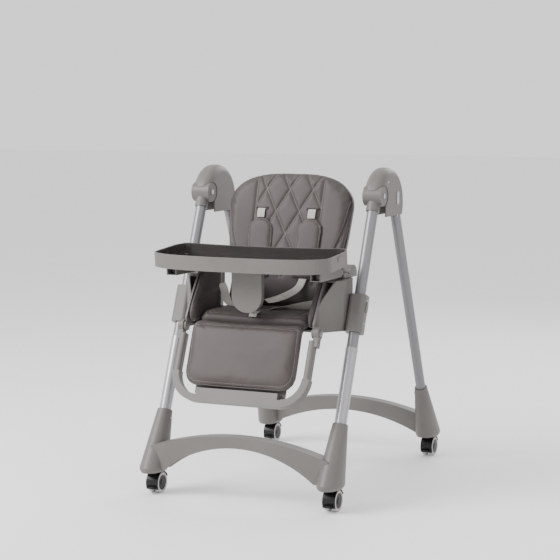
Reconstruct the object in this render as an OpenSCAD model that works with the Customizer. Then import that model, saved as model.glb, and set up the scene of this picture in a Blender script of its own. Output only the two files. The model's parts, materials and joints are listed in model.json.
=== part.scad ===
// Folding baby high chair: an A-frame on four twin-wheel casters, a seat that slides up and down
// the front legs, a reclining back, a hinged leg rest and a tray that pulls off its two arms.
// The child faces -Y, +Z is up, and the origin is on the floor in the middle of the chair.

/* [Frame] */
// Height of the hub tops above the floor
height = 1000; // [900:10:1200]
// Distance from the middle of the chair to the plane of the legs
leg_x = 295; // [260:1:354]
// Distance from the middle of the chair to the foot centres, front and rear
foot_y = 432; // [380:1:500]
// Outer radius of the upper front leg tubes
front_tube_r = 17; // [14:0.5:20]
// Outer radius of the rear leg tubes
rear_tube_r = 16; // [14:0.5:18]
// Wall of the leg tubes
tube_wall = 1.5; // [1:0.1:2]
// Distance along the front leg from the hub pivot to the joint of its two tubes
leg_joint_drop = 485; // [440:1:520]
// Angle through which the rear frame folds towards the front frame
fold_angle = 42; // [30:1:42]

/* [Hub] */
// Radius of the hub dome
hub_r = 110; // [106:1:120]
// Width of the hub dome
hub_w = 64; // [62:1:72]
// Radius of the round end of the front leg knuckle
knuckle_r = 31; // [29:0.5:33]
// Radius of the hub pivot pin
hub_pin_r = 5; // [4:0.5:6]

/* [Base] */
// Half width of a foot at its bottom
foot_half_w = 39; // [34:1:46]
// Half length of a foot at its bottom
foot_half_l = 61; // [52:1:66]
// Height of the top of a foot
foot_top_z = 250; // [210:5:290]
// Height of the arch top at the middle of the front base
front_arch_z = 203; // [190:1:225]
// Height of the arch top at the middle of the rear base
rear_arch_z = 187; // [180:1:225]
// Depth of the arches, front to rear
arch_depth = 44; // [34:1:52]
// Wall of the moulded bases
base_wall = 4; // [3:0.5:5]

/* [Casters] */
// Radius of the caster wheels
wheel_r = 32; // [27:0.5:33]
// Width of one caster wheel
wheel_w = 15; // [12:0.5:18]
// Distance of the wheel axle behind the swivel axis
caster_trail = 18; // [14:1:22]
// Radius of the caster stem
stem_r = 5; // [4:0.5:6]

/* [Seat] */
// Distance along the front leg from the hub pivot to the middle of the seat sliders
seat_drop = 379; // [320:1:400]
// Length of a seat slider
slider_len = 118; // [90:1:130]
// Half width of the seat shell, outside
shell_half_w = 216; // [200:1:225]
// Wall of the seat shell
shell_wall = 6; // [4:0.5:8]
// Thickness of the seat cushion
seat_pad_t = 26; // [16:1:30]
// Height of the back pad along its slope
back_len = 448; // [400:1:500]
// Largest half width of the back pad
back_half_w = 220; // [195:1:228]
// Thickness of the back pad
back_pad_t = 30; // [20:1:36]
// Half width of a shoulder pad
shoulder_pad_half_w = 46; // [34:1:50]
// Slope of the back from upright
back_slope = 15.5; // [10:0.5:20]
// Length of the leg rest frame below its hinge
legrest_len = 236; // [190:1:270]
// Slope of the leg rest from hanging straight down
legrest_slope = 23; // [15:0.5:28]

/* [Tray] */
// Half width of the tray
tray_half_w = 290; // [250:1:320]
// Length of the tray, front to rear
tray_len = 236; // [200:1:260]
// Height of the tray rim
tray_h = 44; // [34:1:50]
// Slope of the tray, rear edge up
tray_slope = 4.5; // [0:0.5:6]
// Radius of the cup recess
cup_r = 38; // [30:1:42]

/* [Hidden] */
$fn = 64;

// Colours
frame_grey = "#7d7873";
tube_grey = "#93929a";
tube_silver = "#a3a3ab";
pad_taupe = "#6d6361";
strap_grey = "#a09b92";
black = "#262524";
white = "#dedbd8";
steel = "#b8b8bc";
clear_grey = "#c9c8cc";

// Clearances
slide_gap = 0.3;      // a piece that slides in or on another
fit_gap = 0.05;       // a tube or pin in its fixed socket
part_gap = 1;         // neighbours that move past each other
eps = 0.01;

// Hub
hub_z = height - hub_r;
hub_y = -9;
pivot_y = hub_y - (hub_r - knuckle_r - 4);
pivot_z = hub_z + 25;
hub_wall = 4;
hub_edge_r = 26;
hub_bottom_z = hub_z - 40;
knuckle_w = hub_w - 4;
tongue_w = 20;
tongue_r = knuckle_r - 6;
collar_r = front_tube_r + 4;
collar_len = 33;
tube_start = knuckle_r - 2;

// Legs: each runs from the hub to the middle of its foot
foot_z = 2 * wheel_r + 8;
rear_top_y = hub_y + 87;
rear_top_z = hub_z;
front_angle = atan((foot_y + pivot_y) / (pivot_z - foot_z));
rear_angle = atan((foot_y - rear_top_y) / (rear_top_z - foot_z));
front_lower_r = front_tube_r + tube_wall;
leg_end_z = foot_z + 46;
front_leg_len = (pivot_z - leg_end_z) / cos(front_angle);
rear_leg_len = (rear_top_z - leg_end_z) / cos(rear_angle);
rear_socket_len = 44;

// Casters
fender_r = wheel_r + 3.5;
fender_half_w = wheel_w + 5.5;
web_half_w = 4.5;
axle_r = 3;
stem_top = foot_z + 32;

// Seat: everything on the seat is placed from the middle of the sliders
seat_y = pivot_y - seat_drop * sin(front_angle);
seat_z = pivot_z - seat_drop * cos(front_angle);
slider_w = 54;
slider_d = 50;
slider_in_x = leg_x - slider_w / 2;
floor_z = seat_z - 49;
pad_top_z = floor_z + shell_wall + seat_pad_t + 8;
knee_y = seat_y - 138;
legrest_y = seat_y - 138;
legrest_z = seat_z - 45;
shell_rear_y = seat_y + 112;
arm_top_z = seat_z + 142;
shell_in_x = shell_half_w - shell_wall;
pad_half_w = shell_in_x - 19;
recline_y = seat_y + 94;
recline_z = seat_z - 14;
recline_pin_r = 6;
legrest_pin_r = 7;

// Back, in a frame that leans with it: Z up the slope, -Y towards the child
back_face_y = seat_y + 68;
back_shell_t = 12;
back_low_half_w = pad_half_w - 8;

// Leg rest
legrest_hub_r = 20;
legrest_hub_w = 16;
legrest_bar_t = 30;
legrest_roll_r = 26;
calf_half_w = pad_half_w - 3;

// Tray
tray_low_z = arm_top_z - 4;
tray_front_y = seat_y - 258;
arm_half_w = 12;
arm_x = shell_half_w + 22;
arm_h = 14;
arm_low_z = arm_top_z - 24;
tray_wall = 4;
insert_gap = 3;
insert_h = 24;
insert_wall = 2.5;
cup_x = -200;
cup_depth = 14;
post_half_w = 50;
post_t = 20;
runner_len = tray_len - 74;

// ---------------------------------------------------------------- helpers

module on_front_leg(drop = 0) {
    translate([leg_x, pivot_y, pivot_z]) rotate([-front_angle, 0, 0]) translate([0, 0, -drop]) children();
}

module on_rear_leg(drop = 0) {
    translate([leg_x, rear_top_y, rear_top_z]) rotate([rear_angle, 0, 0]) translate([0, 0, -drop]) children();
}

module along_x(r, h) {
    rotate([0, 90, 0]) cylinder(r = r, h = h, center = true);
}

module left() {
    mirror([1, 0, 0]) children();
}

module both_sides() {
    children();
    left() children();
}

module tube(r, wall, len) {
    translate([0, 0, -len]) difference() {
        cylinder(r = r, h = len);
        translate([0, 0, -1]) cylinder(r = r - wall, h = len + 2);
    }
}

// Upright bar with four round edges
module round_bar(w, d, h, r) {
    translate([-w / 2 + r, -d / 2, 0]) cube([w - 2 * r, d, h]);
    translate([-w / 2, -d / 2 + r, 0]) cube([w, d - 2 * r, h]);
    for (x = [-1, 1], y = [-1, 1])
        translate([x * (w / 2 - r), y * (d / 2 - r), 0]) cylinder(r = r, h = h);
}

// Disc about the X axis whose rim is rounded
module round_disc(r, w, edge) {
    rotate([0, 90, 0]) rotate_extrude($fn = 96) intersection() {
        union() {
            translate([0, -w / 2]) square([r - edge, w]);
            translate([0, -w / 2 + edge]) square([r, w - 2 * edge]);
            for (s = [-1, 1]) translate([r - edge, s * (w / 2 - edge)]) circle(r = edge);
        }
        translate([0, -w]) square([r + 1, 2 * w]);
    }
}

// Oval prism along X
module oval_x(half_y, half_z, h) {
    rotate([0, 90, 0]) translate([0, 0, -h / 2]) {
        translate([-half_z + half_y, -half_y, 0]) cube([2 * (half_z - half_y), 2 * half_y, h]);
        for (s = [-1, 1]) translate([s * (half_z - half_y), 0, 0]) cylinder(r = half_y, h = h);
    }
}

// ---------------------------------------------------------------- bases

module foot_ellipse(z, grow, h) {
    translate([leg_x, foot_y, z]) scale([(foot_half_w + grow) / 50, (foot_half_l + grow) / 50, 1])
        cylinder(r = 50, h = h, $fn = 40);
}

// Foot on the +Y side with its leg leaning towards the middle of the chair
module foot_skin(tube_r, angle) {
    hull() {
        translate([leg_x, foot_y - (foot_top_z - foot_z) * tan(angle), foot_top_z]) rotate([angle, 0, 0])
            translate([0, 0, -6]) cylinder(r = tube_r + 5, h = 6, $fn = 40);
        foot_ellipse(foot_z + 8, 0, 8);
        foot_ellipse(foot_z, -5, 1);
    }
}

module foot_cavity(tube_r, angle) {
    hull() {
        translate([leg_x, foot_y - (foot_top_z - 50 - foot_z) * tan(angle), foot_top_z - 50])
            cylinder(r = tube_r + 3, h = 2, $fn = 40);
        foot_ellipse(foot_z - 1, -9, 2);
    }
}

// One rib, the caster boss and the tube socket inside a foot
module foot_inside(tube_r, angle) {
    intersection() {
        foot_skin(tube_r, angle);
        union() {
            translate([leg_x - 2, foot_y - 90, foot_z + 2]) cube([4, 180, 130]);
            translate([leg_x, foot_y, foot_z + 2]) cylinder(r = stem_r + 6, h = 40);
            translate([leg_x, foot_y, foot_z]) rotate([angle, 0, 0]) cylinder(r = tube_r + 4, h = 200);
        }
    }
}

module arch(top_z, low_z, end_top_z, end_low_z) {
    half = leg_x - 60;
    rise = top_z - end_top_z;
    drop = low_z - end_low_z;
    outer_r = (half * half + rise * rise) / (2 * rise);
    inner_r = (half * half + drop * drop) / (2 * drop);
    module bow(r, grow, depth) {
        translate([0, foot_y, top_z - outer_r]) rotate([90, 0, 0])
            cylinder(r = r + grow, h = depth, center = true, $fn = 200);
    }
    difference() {
        intersection() {
            translate([-leg_x, foot_y - arch_depth / 2, foot_z + 10])
                cube([2 * leg_x, arch_depth, top_z - foot_z]);
            bow(outer_r, 0, arch_depth + 2);
        }
        translate([0, foot_y, low_z - inner_r]) rotate([90, 0, 0])
            cylinder(r = inner_r, h = arch_depth + 2, center = true, $fn = 200);
        // hollow underside
        intersection() {
            translate([-leg_x, foot_y - arch_depth / 2 + base_wall, foot_z])
                cube([2 * leg_x, arch_depth - 2 * base_wall, top_z]);
            bow(outer_r, -base_wall, arch_depth);
        }
    }
}

module base(tube_r, angle, arch_z, arch_low_z) {
    difference() {
        union() {
            difference() {
                union() {
                    both_sides() foot_skin(tube_r, angle);
                    arch(arch_z, arch_low_z, arch_z - 31, foot_z + 20);
                }
                both_sides() foot_cavity(tube_r, angle);
            }
            both_sides() foot_inside(tube_r, angle);
        }
        both_sides() {
            translate([leg_x, foot_y, foot_z]) rotate([angle, 0, 0])
                translate([0, 0, (leg_end_z - foot_z) / cos(angle) - fit_gap]) cylinder(r = tube_r + fit_gap, h = 300);
            translate([leg_x, foot_y, foot_z - 1]) cylinder(r = stem_r + fit_gap, h = stem_top - foot_z + 2);
            foot_screw(tube_r, angle, fit_gap);
        }
    }
}

// Screw through the inner side of a foot into its tube
module foot_screw(tube_r, angle, gap) {
    translate([leg_x, foot_y, foot_z]) rotate([angle, 0, 0]) translate([0, 0, (foot_top_z - foot_z) / cos(angle) - 26])
        rotate([0, -90, 0]) {
            translate([0, 0, tube_r - tube_wall - 1]) cylinder(r = 2 + gap, h = 16);
            translate([0, 0, tube_r + 5.5]) cylinder(r = 4.2 + gap, h = 12 + 10 * gap);
        }
}

module base_screws(tube_r, angle) {
    both_sides() intersection() {
        foot_screw(tube_r, angle, 0);
        // heads end just proud of the foot
        translate([leg_x - tube_r - 10, foot_y - 200, foot_z]) cube([tube_r + 10, 400, 400]);
    }
}

module to_front() {
    mirror([0, 1, 0]) children();
}

module front_base() color(frame_grey) to_front() base(front_lower_r, front_angle, front_arch_z, front_arch_z - 35);

module rear_base() color(frame_grey) base(rear_tube_r, rear_angle, rear_arch_z, rear_arch_z - 46);

module front_base_screws() color(steel) to_front() base_screws(front_lower_r, front_angle);

module rear_base_screws() color(steel) base_screws(rear_tube_r, rear_angle);

// ---------------------------------------------------------------- legs

module front_leg_upper() color(tube_grey) on_front_leg(tube_start)
    tube(front_tube_r - fit_gap, tube_wall, leg_joint_drop + 60 - tube_start);

module front_leg_lower() color(tube_silver) difference() {
    on_front_leg(leg_joint_drop) tube(front_lower_r, tube_wall, front_leg_len - leg_joint_drop);
    to_front() foot_screw(front_lower_r, front_angle, fit_gap);
}

module rear_leg() color(tube_grey) difference() {
    on_rear_leg(0) tube(rear_tube_r, tube_wall, rear_leg_len);
    foot_screw(rear_tube_r, rear_angle, fit_gap);
}

// ---------------------------------------------------------------- hubs

module leg_knuckle() color(frame_grey) on_front_leg() difference() {
    union() {
        along_x(knuckle_r, knuckle_w);
        translate([0, 0, -knuckle_r - collar_len + 12]) cylinder(r = collar_r, h = knuckle_r + collar_len - 12);
    }
    // slot for the hub's tongue, open at the top and rear
    along_x(tongue_r + part_gap, tongue_w + 2 * part_gap);
    translate([-tongue_w / 2 - part_gap, 0, -tongue_r]) cube([tongue_w + 2 * part_gap, 60, 90]);
    translate([0, 0, -100]) cylinder(r = front_tube_r, h = 100 - tube_start + fit_gap);
    along_x(hub_pin_r + fit_gap, hub_w + 2);
}

module hub_pins() color(steel) both_sides() translate([leg_x, pivot_y, pivot_z]) {
    along_x(hub_pin_r, knuckle_w);
    for (s = [-1, 1]) translate([s * (knuckle_w / 2 + 1), 0, 0]) along_x(hub_pin_r + 3, 2);
}

module hub_housing() color(frame_grey) difference() {
    union() {
        difference() {
            // dome, open below, cut back where the front leg stands and swings
            translate([leg_x, hub_y, hub_z]) difference() {
                round_disc(hub_r, hub_w, hub_edge_r);
                round_disc(hub_r - hub_wall, hub_w - 2 * hub_wall, hub_edge_r - hub_wall);
                translate([-hub_w, -2 * hub_r, -2 * hub_r]) cube([2 * hub_w, 4 * hub_r, 2 * hub_r + hub_bottom_z - hub_z]);
            }
            translate([leg_x, pivot_y, pivot_z]) along_x(knuckle_r + part_gap, hub_w + 2);
            translate([leg_x - hub_w, pivot_y - 80, hub_bottom_z - 1])
                cube([2 * hub_w, 80 + 14, pivot_z - hub_bottom_z + 1]);
            translate([leg_x - hub_w, pivot_y - 80, pivot_z - 1]) cube([2 * hub_w, 80, 12]);
        }
        // socket of the rear leg, kept inside the dome above its lower edge
        intersection() {
            on_rear_leg(rear_socket_len) cylinder(r = rear_tube_r + 3.5, h = rear_socket_len + 12);
            translate([leg_x, hub_y, hub_z]) union() {
                round_disc(hub_r - 1, hub_w - 2, hub_edge_r);
                translate([-hub_w / 2, 0, -60]) cube([hub_w, 160, 60]);
            }
        }
        // tongue that carries the pivot, tied to the socket
        translate([leg_x, pivot_y, pivot_z]) along_x(tongue_r, tongue_w);
        translate([leg_x - tongue_w / 2, pivot_y, pivot_z - 3])
            cube([tongue_w, rear_top_y - pivot_y - rear_tube_r, tongue_r + 2]);
        for (s = [-1, 1]) translate([leg_x + s * (hub_w / 2 - 12) - 11, hub_y - 4, hub_z - 4])
            cube([22, 8, hub_r - 34]);
    }
    on_rear_leg(rear_socket_len + 20) cylinder(r = rear_tube_r + fit_gap, h = rear_socket_len + 20 + fit_gap);
    translate([leg_x, pivot_y, pivot_z]) along_x(hub_pin_r + fit_gap, hub_w);
    fold_button_place() oval_x(9 + slide_gap, 21 + slide_gap, 2 * hub_wall + 20);
}

module fold_button_place() {
    translate([leg_x + hub_w / 2, hub_y + 40, hub_z + 14]) children();
}

module fold_button() color(steel) fold_button_place() {
    translate([-2, 0, 0]) oval_x(9, 21, 8);
    translate([-hub_wall - 2, 0, 0]) oval_x(11, 23, 2);
}

// ---------------------------------------------------------------- casters

module caster_place(x, y) {
    translate([x * leg_x, y * foot_y, 0]) children();
}

module axle_place() {
    translate([0, caster_trail, wheel_r]) children();
}

module caster_hood() color(black) difference() {
    union() {
        axle_place() difference() {
            union() {
                difference() {
                    along_x(fender_r, 2 * fender_half_w);
                    along_x(fender_r - 2.5, 2 * fender_half_w + 2);
                }
                along_x(fender_r - 1, 2 * web_half_w);
            }
            // open behind and below
            translate([-50, -50, -fender_r - 1]) cube([100, 100, fender_r + 1 - (wheel_r - 14)]);
            translate([-50, 14, -50]) cube([100, 50, 64]);
            rotate([-45, 0, 0]) translate([-50, 14, -20]) cube([100, 50, 80]);
        }
        translate([0, 0, foot_z - 9]) cylinder(r = 13, h = 8);
        translate([0, 0, foot_z - 12]) cylinder(r = stem_r, h = stem_top - foot_z + 12);
        axle_place() along_x(10, 2 * web_half_w);
        // lugs of the brake pedal
        brake_place() for (x = [-1, 1]) translate([x * 12.5 - 1.5, -3, -3]) cube([3, 8, 6]);
    }
    brake_place() along_x(1.5 + fit_gap, 60);
    axle_place() along_x(axle_r + fit_gap, 60);
    // the wheels' own space
    axle_place() for (s = [-1, 1]) translate([s * (web_half_w + 30), 0, 0]) along_x(wheel_r + part_gap, 60);
}

module caster_axle() color(steel) axle_place() along_x(axle_r, 2 * (web_half_w + 0.5 + wheel_w) - 8);

module caster_wheel(side) color(white) axle_place() translate([side * (web_half_w + 0.5 + wheel_w / 2), 0, 0])
    difference() {
        round_disc(wheel_r, wheel_w, 4);
        translate([-side * 4, 0, 0]) along_x(axle_r + fit_gap, wheel_w);
        // dished outer face around the hub
        translate([side * wheel_w / 2, 0, 0]) difference() {
            along_x(wheel_r - 6, 3);
            along_x(9, 4);
        }
    }

module brake_place() {
    translate([0, caster_trail - fender_r - 3, 21]) children();
}

module caster_brake() color(black) brake_place() {
    along_x(2.5, 20);
    along_x(1.5, 29);
    translate([-10, -13, -1.5]) cube([20, 13, 3]);
    translate([-10, -13, -1.5]) cube([20, 2.5, 5]);
}

// ---------------------------------------------------------------- seat carriage

// Side outline of the seat walls, drawn in (Y, Z)
module seat_side(low, front_inset, top_inset) {
    polygon([
        [shell_rear_y, low],
        [knee_y + 30, low],
        [knee_y - 4 + front_inset, low + 18],
        [knee_y - 6 + front_inset, pad_top_z - 8],
        [seat_y - 102 + front_inset, arm_top_z - 92 - top_inset],
        [seat_y - 58 + front_inset, arm_top_z - 34 - top_inset],
        [seat_y - 30 + front_inset, arm_top_z - 8 - top_inset],
        [seat_y - 10 + front_inset, arm_top_z - top_inset],
        [shell_rear_y - 22, arm_top_z - top_inset],
        [shell_rear_y - 6, arm_top_z - 8 - top_inset],
        [shell_rear_y, arm_top_z - 30 - top_inset]
    ]);
}

// Extrudes a (Y, Z) outline along X from x0 to x1
module wall_x(x0, x1) {
    translate([x0, 0, 0]) rotate([90, 0, 90]) linear_extrude(height = x1 - x0) children();
}

// Outer side panel seen from above: it bulges from the seat wall out to the slider
module flare_plan(inset) {
    out = slider_in_x - inset;
    polygon([
        [shell_half_w - 2, legrest_y + 26 + inset],
        [shell_half_w + 7, legrest_y + 44 + inset],
        [shell_half_w + 20, seat_y - 74 + inset],
        [out - 12, seat_y - 46 + inset],
        [out - 3, seat_y - 34 + inset],
        [out, seat_y - 22 + inset],
        [out, seat_y + 30 - inset],
        [out - 10, seat_y + 58 - inset],
        [shell_half_w + 14, seat_y + 84 - inset],
        [shell_half_w - 2, seat_y + 104 - inset]
    ]);
}

module seat_shell() color(frame_grey) difference() {
    union() {
        both_sides() {
            wall_x(shell_in_x, shell_half_w) seat_side(floor_z, 0, 0);
            difference() {
                intersection() {
                    translate([0, 0, floor_z]) linear_extrude(height = arm_top_z - 38 - floor_z) flare_plan(0);
                    wall_x(shell_half_w - 1, slider_in_x) seat_side(floor_z, 6, 0);
                }
                translate([0, 0, floor_z - 1]) linear_extrude(height = arm_top_z - 42 - floor_z) flare_plan(5);
            }
            // ears of the leg rest hinge
            translate([shell_half_w - shell_wall / 2, legrest_y, legrest_z]) along_x(16, shell_wall);
            translate([shell_in_x, legrest_y, legrest_z - 4]) cube([shell_wall, 44, 20]);
        }
        translate([-shell_half_w, knee_y + 40, floor_z]) cube([2 * shell_half_w, shell_rear_y - knee_y - 40, shell_wall]);
        translate([-shell_half_w, shell_rear_y - shell_wall, floor_z]) cube([2 * shell_half_w, shell_wall, 18]);
    }
    translate([0, recline_y, recline_z]) along_x(recline_pin_r + fit_gap, 2 * shell_half_w + 2);
    translate([0, legrest_y, legrest_z]) along_x(legrest_pin_r + fit_gap, 2 * shell_half_w + 2);
}

module slider() color(frame_grey) on_front_leg(seat_drop) difference() {
    translate([0, 0, -slider_len / 2]) round_bar(slider_w, slider_d, slider_len, 16);
    cylinder(r = front_tube_r + slide_gap, h = slider_len + 2, center = true);
    height_button_cut(slide_gap);
}

module height_button_cut(gap) {
    translate([slider_w / 2, 0, 22]) oval_x(8 + gap, 17 + gap, 10 + gap);
}

module height_button() color(frame_grey) on_front_leg(seat_drop)
    translate([slider_w / 2 + 1, 0, 22]) oval_x(8, 17, 4);

// The two arms that the tray runs on, each with an open bracket and a post at its rear
module tray_arms() color(frame_grey) both_sides() difference() {
    union() {
        translate([arm_x - arm_half_w, seat_y - 158, arm_low_z]) cube([2 * arm_half_w, 158, arm_h]);
        translate([arm_x, seat_y - 158, arm_low_z]) cylinder(r = arm_half_w, h = arm_h);
        translate([arm_x - arm_half_w, seat_y + 6, arm_low_z - 12]) cube([2 * arm_half_w, 60, 10]);
        translate([arm_x - arm_half_w, seat_y + 6, arm_low_z - 12]) cube([2 * arm_half_w, 30, 14]);
        translate([shell_half_w, seat_y + 52, arm_low_z - 14]) intersection() {
            translate([0, 0, 0.5]) cube([arm_x + arm_half_w - shell_half_w, 60, 100]);
            translate([-10, 30, arm_top_z - arm_low_z - 16]) union() {
                rotate([0, 90, 0]) cylinder(r = 30, h = 100);
                translate([0, -30, -100]) cube([100, 60, 100]);
            }
        }
    }
    translate([arm_x - arm_half_w - 1, seat_y - 130, arm_low_z + 4]) cube([2 * arm_half_w + 2, 90, 6]);
}

module seat_pad() color(pad_taupe) difference() {
    union() {
        translate([-pad_half_w - 4, knee_y + 34, floor_z + shell_wall + 1])
            cube([2 * pad_half_w + 8, shell_rear_y - knee_y - 96, pad_top_z - floor_z - shell_wall - 1]);
        both_sides() wall_x(pad_half_w, shell_in_x - 1) intersection() {
            seat_side(floor_z + shell_wall + 1, 4, 6);
            translate([knee_y + 20, floor_z + shell_wall + 1]) square([recline_y - knee_y - 40, 300]);
        }
    }
}

module lap_straps() color(strap_grey) {
    both_sides() hull() {
        translate([160, seat_y + 6, pad_top_z + 3]) cube([3, 25, 2.5]);
        translate([26, seat_y - 82, pad_top_z + 8]) cube([3, 25, 2.5]);
    }
    translate([-12.5, seat_y - 100, pad_top_z + 1]) cube([25, 18, 5]);
}

module harness_buckle() color(frame_grey) translate([0, seat_y - 66, pad_top_z + 2])
    round_bar(50, 32, 14, 8);

// ---------------------------------------------------------------- back

module on_back() {
    translate([0, back_face_y, pad_top_z + 6]) rotate([-back_slope, 0, 0]) children();
}

// Back outline in (X, Z): narrow between the seat sides, wide and round above them
function back_outline(grow) = let (
    low = back_low_half_w + grow,
    wide = back_half_w + grow,
    top = back_len + grow,
    shoulder = back_len - 120,
    neck = arm_top_z - pad_top_z + 20
) concat(
    [[-low + 30, 8 - grow], [low - 30, 8 - grow], [low - 8, 16 - grow], [low, 38]],
    [[low, neck - 16], [wide - 12, neck + 12], [wide - 6, neck + 70]],
    [for (a = [0:6:180]) [wide * sign(cos(a)) * pow(abs(cos(a)), 0.72),
                          shoulder + (top - shoulder) * pow(sin(a), 0.85)]],
    [[-wide + 6, neck + 70], [-wide + 12, neck + 12], [-low, neck - 16], [-low, 38], [-low + 8, 16 - grow]]
);

module back_slab(grow, y0, t) {
    on_back() translate([0, y0 + t, 0]) rotate([90, 0, 0]) linear_extrude(height = t) polygon(back_outline(grow));
}

module back_pad() color(pad_taupe) back_slab(0, 0, back_pad_t);

module back_shell() color(frame_grey) difference() {
    union() {
        back_slab(-14, back_pad_t + 0.5, back_shell_t);
        // arms down to the recline pivot
        difference() {
            both_sides() hull() {
                translate([back_low_half_w - 22, recline_y, recline_z]) along_x(11, 12);
                on_back() translate([back_low_half_w - 28, back_pad_t + 2, 40]) cube([12, 8, 20]);
            }
            on_back() translate([-back_half_w, -20, 7.6]) cube([2 * back_half_w, 20 + back_pad_t + 0.4, back_len]);
        }
        translate([0, recline_y, recline_z]) along_x(recline_pin_r, 2 * shell_half_w - 2);
    }
    on_back() translate([0, back_pad_t + back_shell_t, back_len * 0.62]) cube([96, 12, 46], center = true);
}

module recline_handle() color(frame_grey) on_back()
    translate([0, back_pad_t + back_shell_t, back_len * 0.62]) {
        translate([-46, -5, -20]) cube([92, 4, 34]);
        translate([-46, -2, -20]) cube([92, 18, 8]);
    }

module shoulder_pads() color(pad_taupe) on_back() both_sides()
    translate([82, -14, back_len * 0.47]) rotate([0, -2, 0]) {
        translate([-shoulder_pad_half_w, 0, -76]) cube([2 * shoulder_pad_half_w, 10, 112]);
        for (z = [-76, 36])
            translate([0, 10, z]) rotate([90, 0, 0]) cylinder(r = shoulder_pad_half_w, h = 10);
    }

module shoulder_straps() color(strap_grey) on_back() both_sides()
    translate([86, 0, 0]) {
        translate([-23, -3.6, back_len * 0.47 - 136]) cube([25, 2.4, 45]);
        translate([-12.5, -3.6, back_len * 0.47 + 70]) cube([25, 2.4, 32]);
    }

// ---------------------------------------------------------------- leg rest

module on_legrest() {
    translate([0, legrest_y, legrest_z]) rotate([-legrest_slope, 0, 0]) children();
}

module legrest_frame() color(frame_grey) on_legrest() difference() {
    corner = 92;
    bar_w = 22;
    out_x = shell_half_w + 10;
    hub_x = shell_half_w + 1;
    union() {
        both_sides() {
            translate([hub_x + legrest_hub_w / 2, 0, 0]) along_x(legrest_hub_r, legrest_hub_w);
            translate([hub_x, -12, -44]) cube([legrest_hub_w, 24, 44]);
            translate([shell_in_x - 1, 0, 0]) rotate([0, 90, 0]) cylinder(r = legrest_pin_r, h = 10);
            translate([out_x - bar_w / 2, 0, -legrest_len + corner])
                round_bar(bar_w, legrest_bar_t, legrest_len - corner - 26, 9);
            // round corner of the U
            translate([out_x - corner, 0, -legrest_len + corner]) rotate([90, 0, 0]) intersection() {
                difference() {
                    cylinder(r = corner, h = legrest_bar_t, center = true);
                    cylinder(r = corner - bar_w, h = legrest_bar_t + 2, center = true);
                }
                translate([0, -corner, -corner]) cube([corner, corner, 2 * corner]);
            }
        }
        translate([-out_x + corner, -legrest_bar_t / 2, -legrest_len]) cube([2 * (out_x - corner), legrest_bar_t, 42]);
        // plate behind the calf pad
        translate([-150, 9, -legrest_len + 30]) cube([300, 4, legrest_len - 90]);
    }
    both_sides() translate([hub_x + legrest_hub_w, 0, 0]) along_x(11 + slide_gap, 10);
}

module calf_pad() color(pad_taupe) on_legrest() difference() {
    union() {
        translate([0, -2, -2]) along_x(legrest_roll_r, 2 * calf_half_w);
        translate([-calf_half_w, -22, -legrest_len + 90]) cube([2 * calf_half_w, 30, legrest_len - 92]);
        translate([-calf_half_w + 45, -22, -legrest_len + 45]) cube([2 * calf_half_w - 90, 30, 60]);
        for (s = [-1, 1]) translate([s * (calf_half_w - 45), 8, -legrest_len + 90])
            rotate([90, 0, 0]) cylinder(r = 45, h = 30);
    }
}

module legrest_button() color(steel) on_legrest()
    translate([shell_half_w + 1 + legrest_hub_w, 0, 0]) along_x(11, 6);

// ---------------------------------------------------------------- tray

// Tray outline seen from above: y = 0 at the rear edge, negative towards the front
function tray_outline(inset) = let (
    half = tray_half_w - inset,
    widest = -tray_len * 0.7,
    front = tray_len - inset + widest,
    rear = -inset
) concat(
    [for (a = [180:6:360]) [half * sign(cos(a)) * pow(abs(cos(a)), 0.62),
                            widest - front * pow(abs(sin(a)), 0.9)]],
    [[half - 2, -tray_len * 0.18], [half - 16, rear - 4], [half - 34, rear]],
    [for (t = [0.8:-0.2:-0.8]) [(half - 34) * t, rear - 22 * (1 - t * t)]],
    [[-half + 34, rear], [-half + 16, rear - 4], [-half + 2, -tray_len * 0.18]]
);

module on_tray() {
    translate([0, tray_front_y, tray_low_z]) rotate([tray_slope, 0, 0]) translate([0, tray_len, 0]) children();
}

module tray_base() color(frame_grey) difference() {
    union() {
        on_tray() {
            difference() {
                linear_extrude(height = tray_h) polygon(tray_outline(0));
                translate([0, 0, tray_wall]) linear_extrude(height = tray_h) polygon(tray_outline(tray_wall));
            }
            // posts under the insert
            for (x = [-1, 1]) {
                translate([x * 240, -60, tray_wall - 1]) cylinder(r = 6, h = tray_h - insert_h - tray_wall + 1);
                translate([x * 110, -tray_len + 46, tray_wall - 1])
                    cylinder(r = 6, h = tray_h - insert_h - tray_wall + 1);
            }
        }
        // runners that hold the tray on its arms
        both_sides() {
            intersection() {
                for (x = [arm_x - arm_half_w - 5, arm_x + arm_half_w + 1])
                    translate([x, tray_front_y + 70, arm_low_z - 4]) cube([4, runner_len, 60]);
                on_tray() translate([0, -tray_len, -60]) cube([400, 2 * tray_len, 62]);
            }
            translate([arm_x - arm_half_w - 5, tray_front_y + 70, arm_low_z - 4])
                cube([2 * arm_half_w + 10, runner_len, 3]);
        }
    }
    both_sides() tray_button_place() cube([20, 34 + 2 * slide_gap, 14 + 2 * slide_gap], center = true);
}

module tray_button_place() {
    on_tray() translate([tray_half_w - 2, -tray_len * 0.42, tray_h - 14]) children();
}

module tray_button() color(frame_grey) tray_button_place() translate([0.6, 0, 0]) cube([4.8, 34, 14], center = true);

module tray_post() color(frame_grey) translate([0, tray_front_y + 110, 0]) {
    post_low_z = pad_top_z + 16 + post_half_w;
    post_top_z = tray_low_z + (110 - post_t / 2) * tan(tray_slope) - fit_gap;
    translate([-post_half_w, -post_t / 2, post_low_z]) cube([2 * post_half_w, post_t, post_top_z - post_low_z]);
    translate([0, 0, post_low_z]) rotate([90, 0, 0]) cylinder(r = post_half_w, h = post_t, center = true);
}

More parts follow.
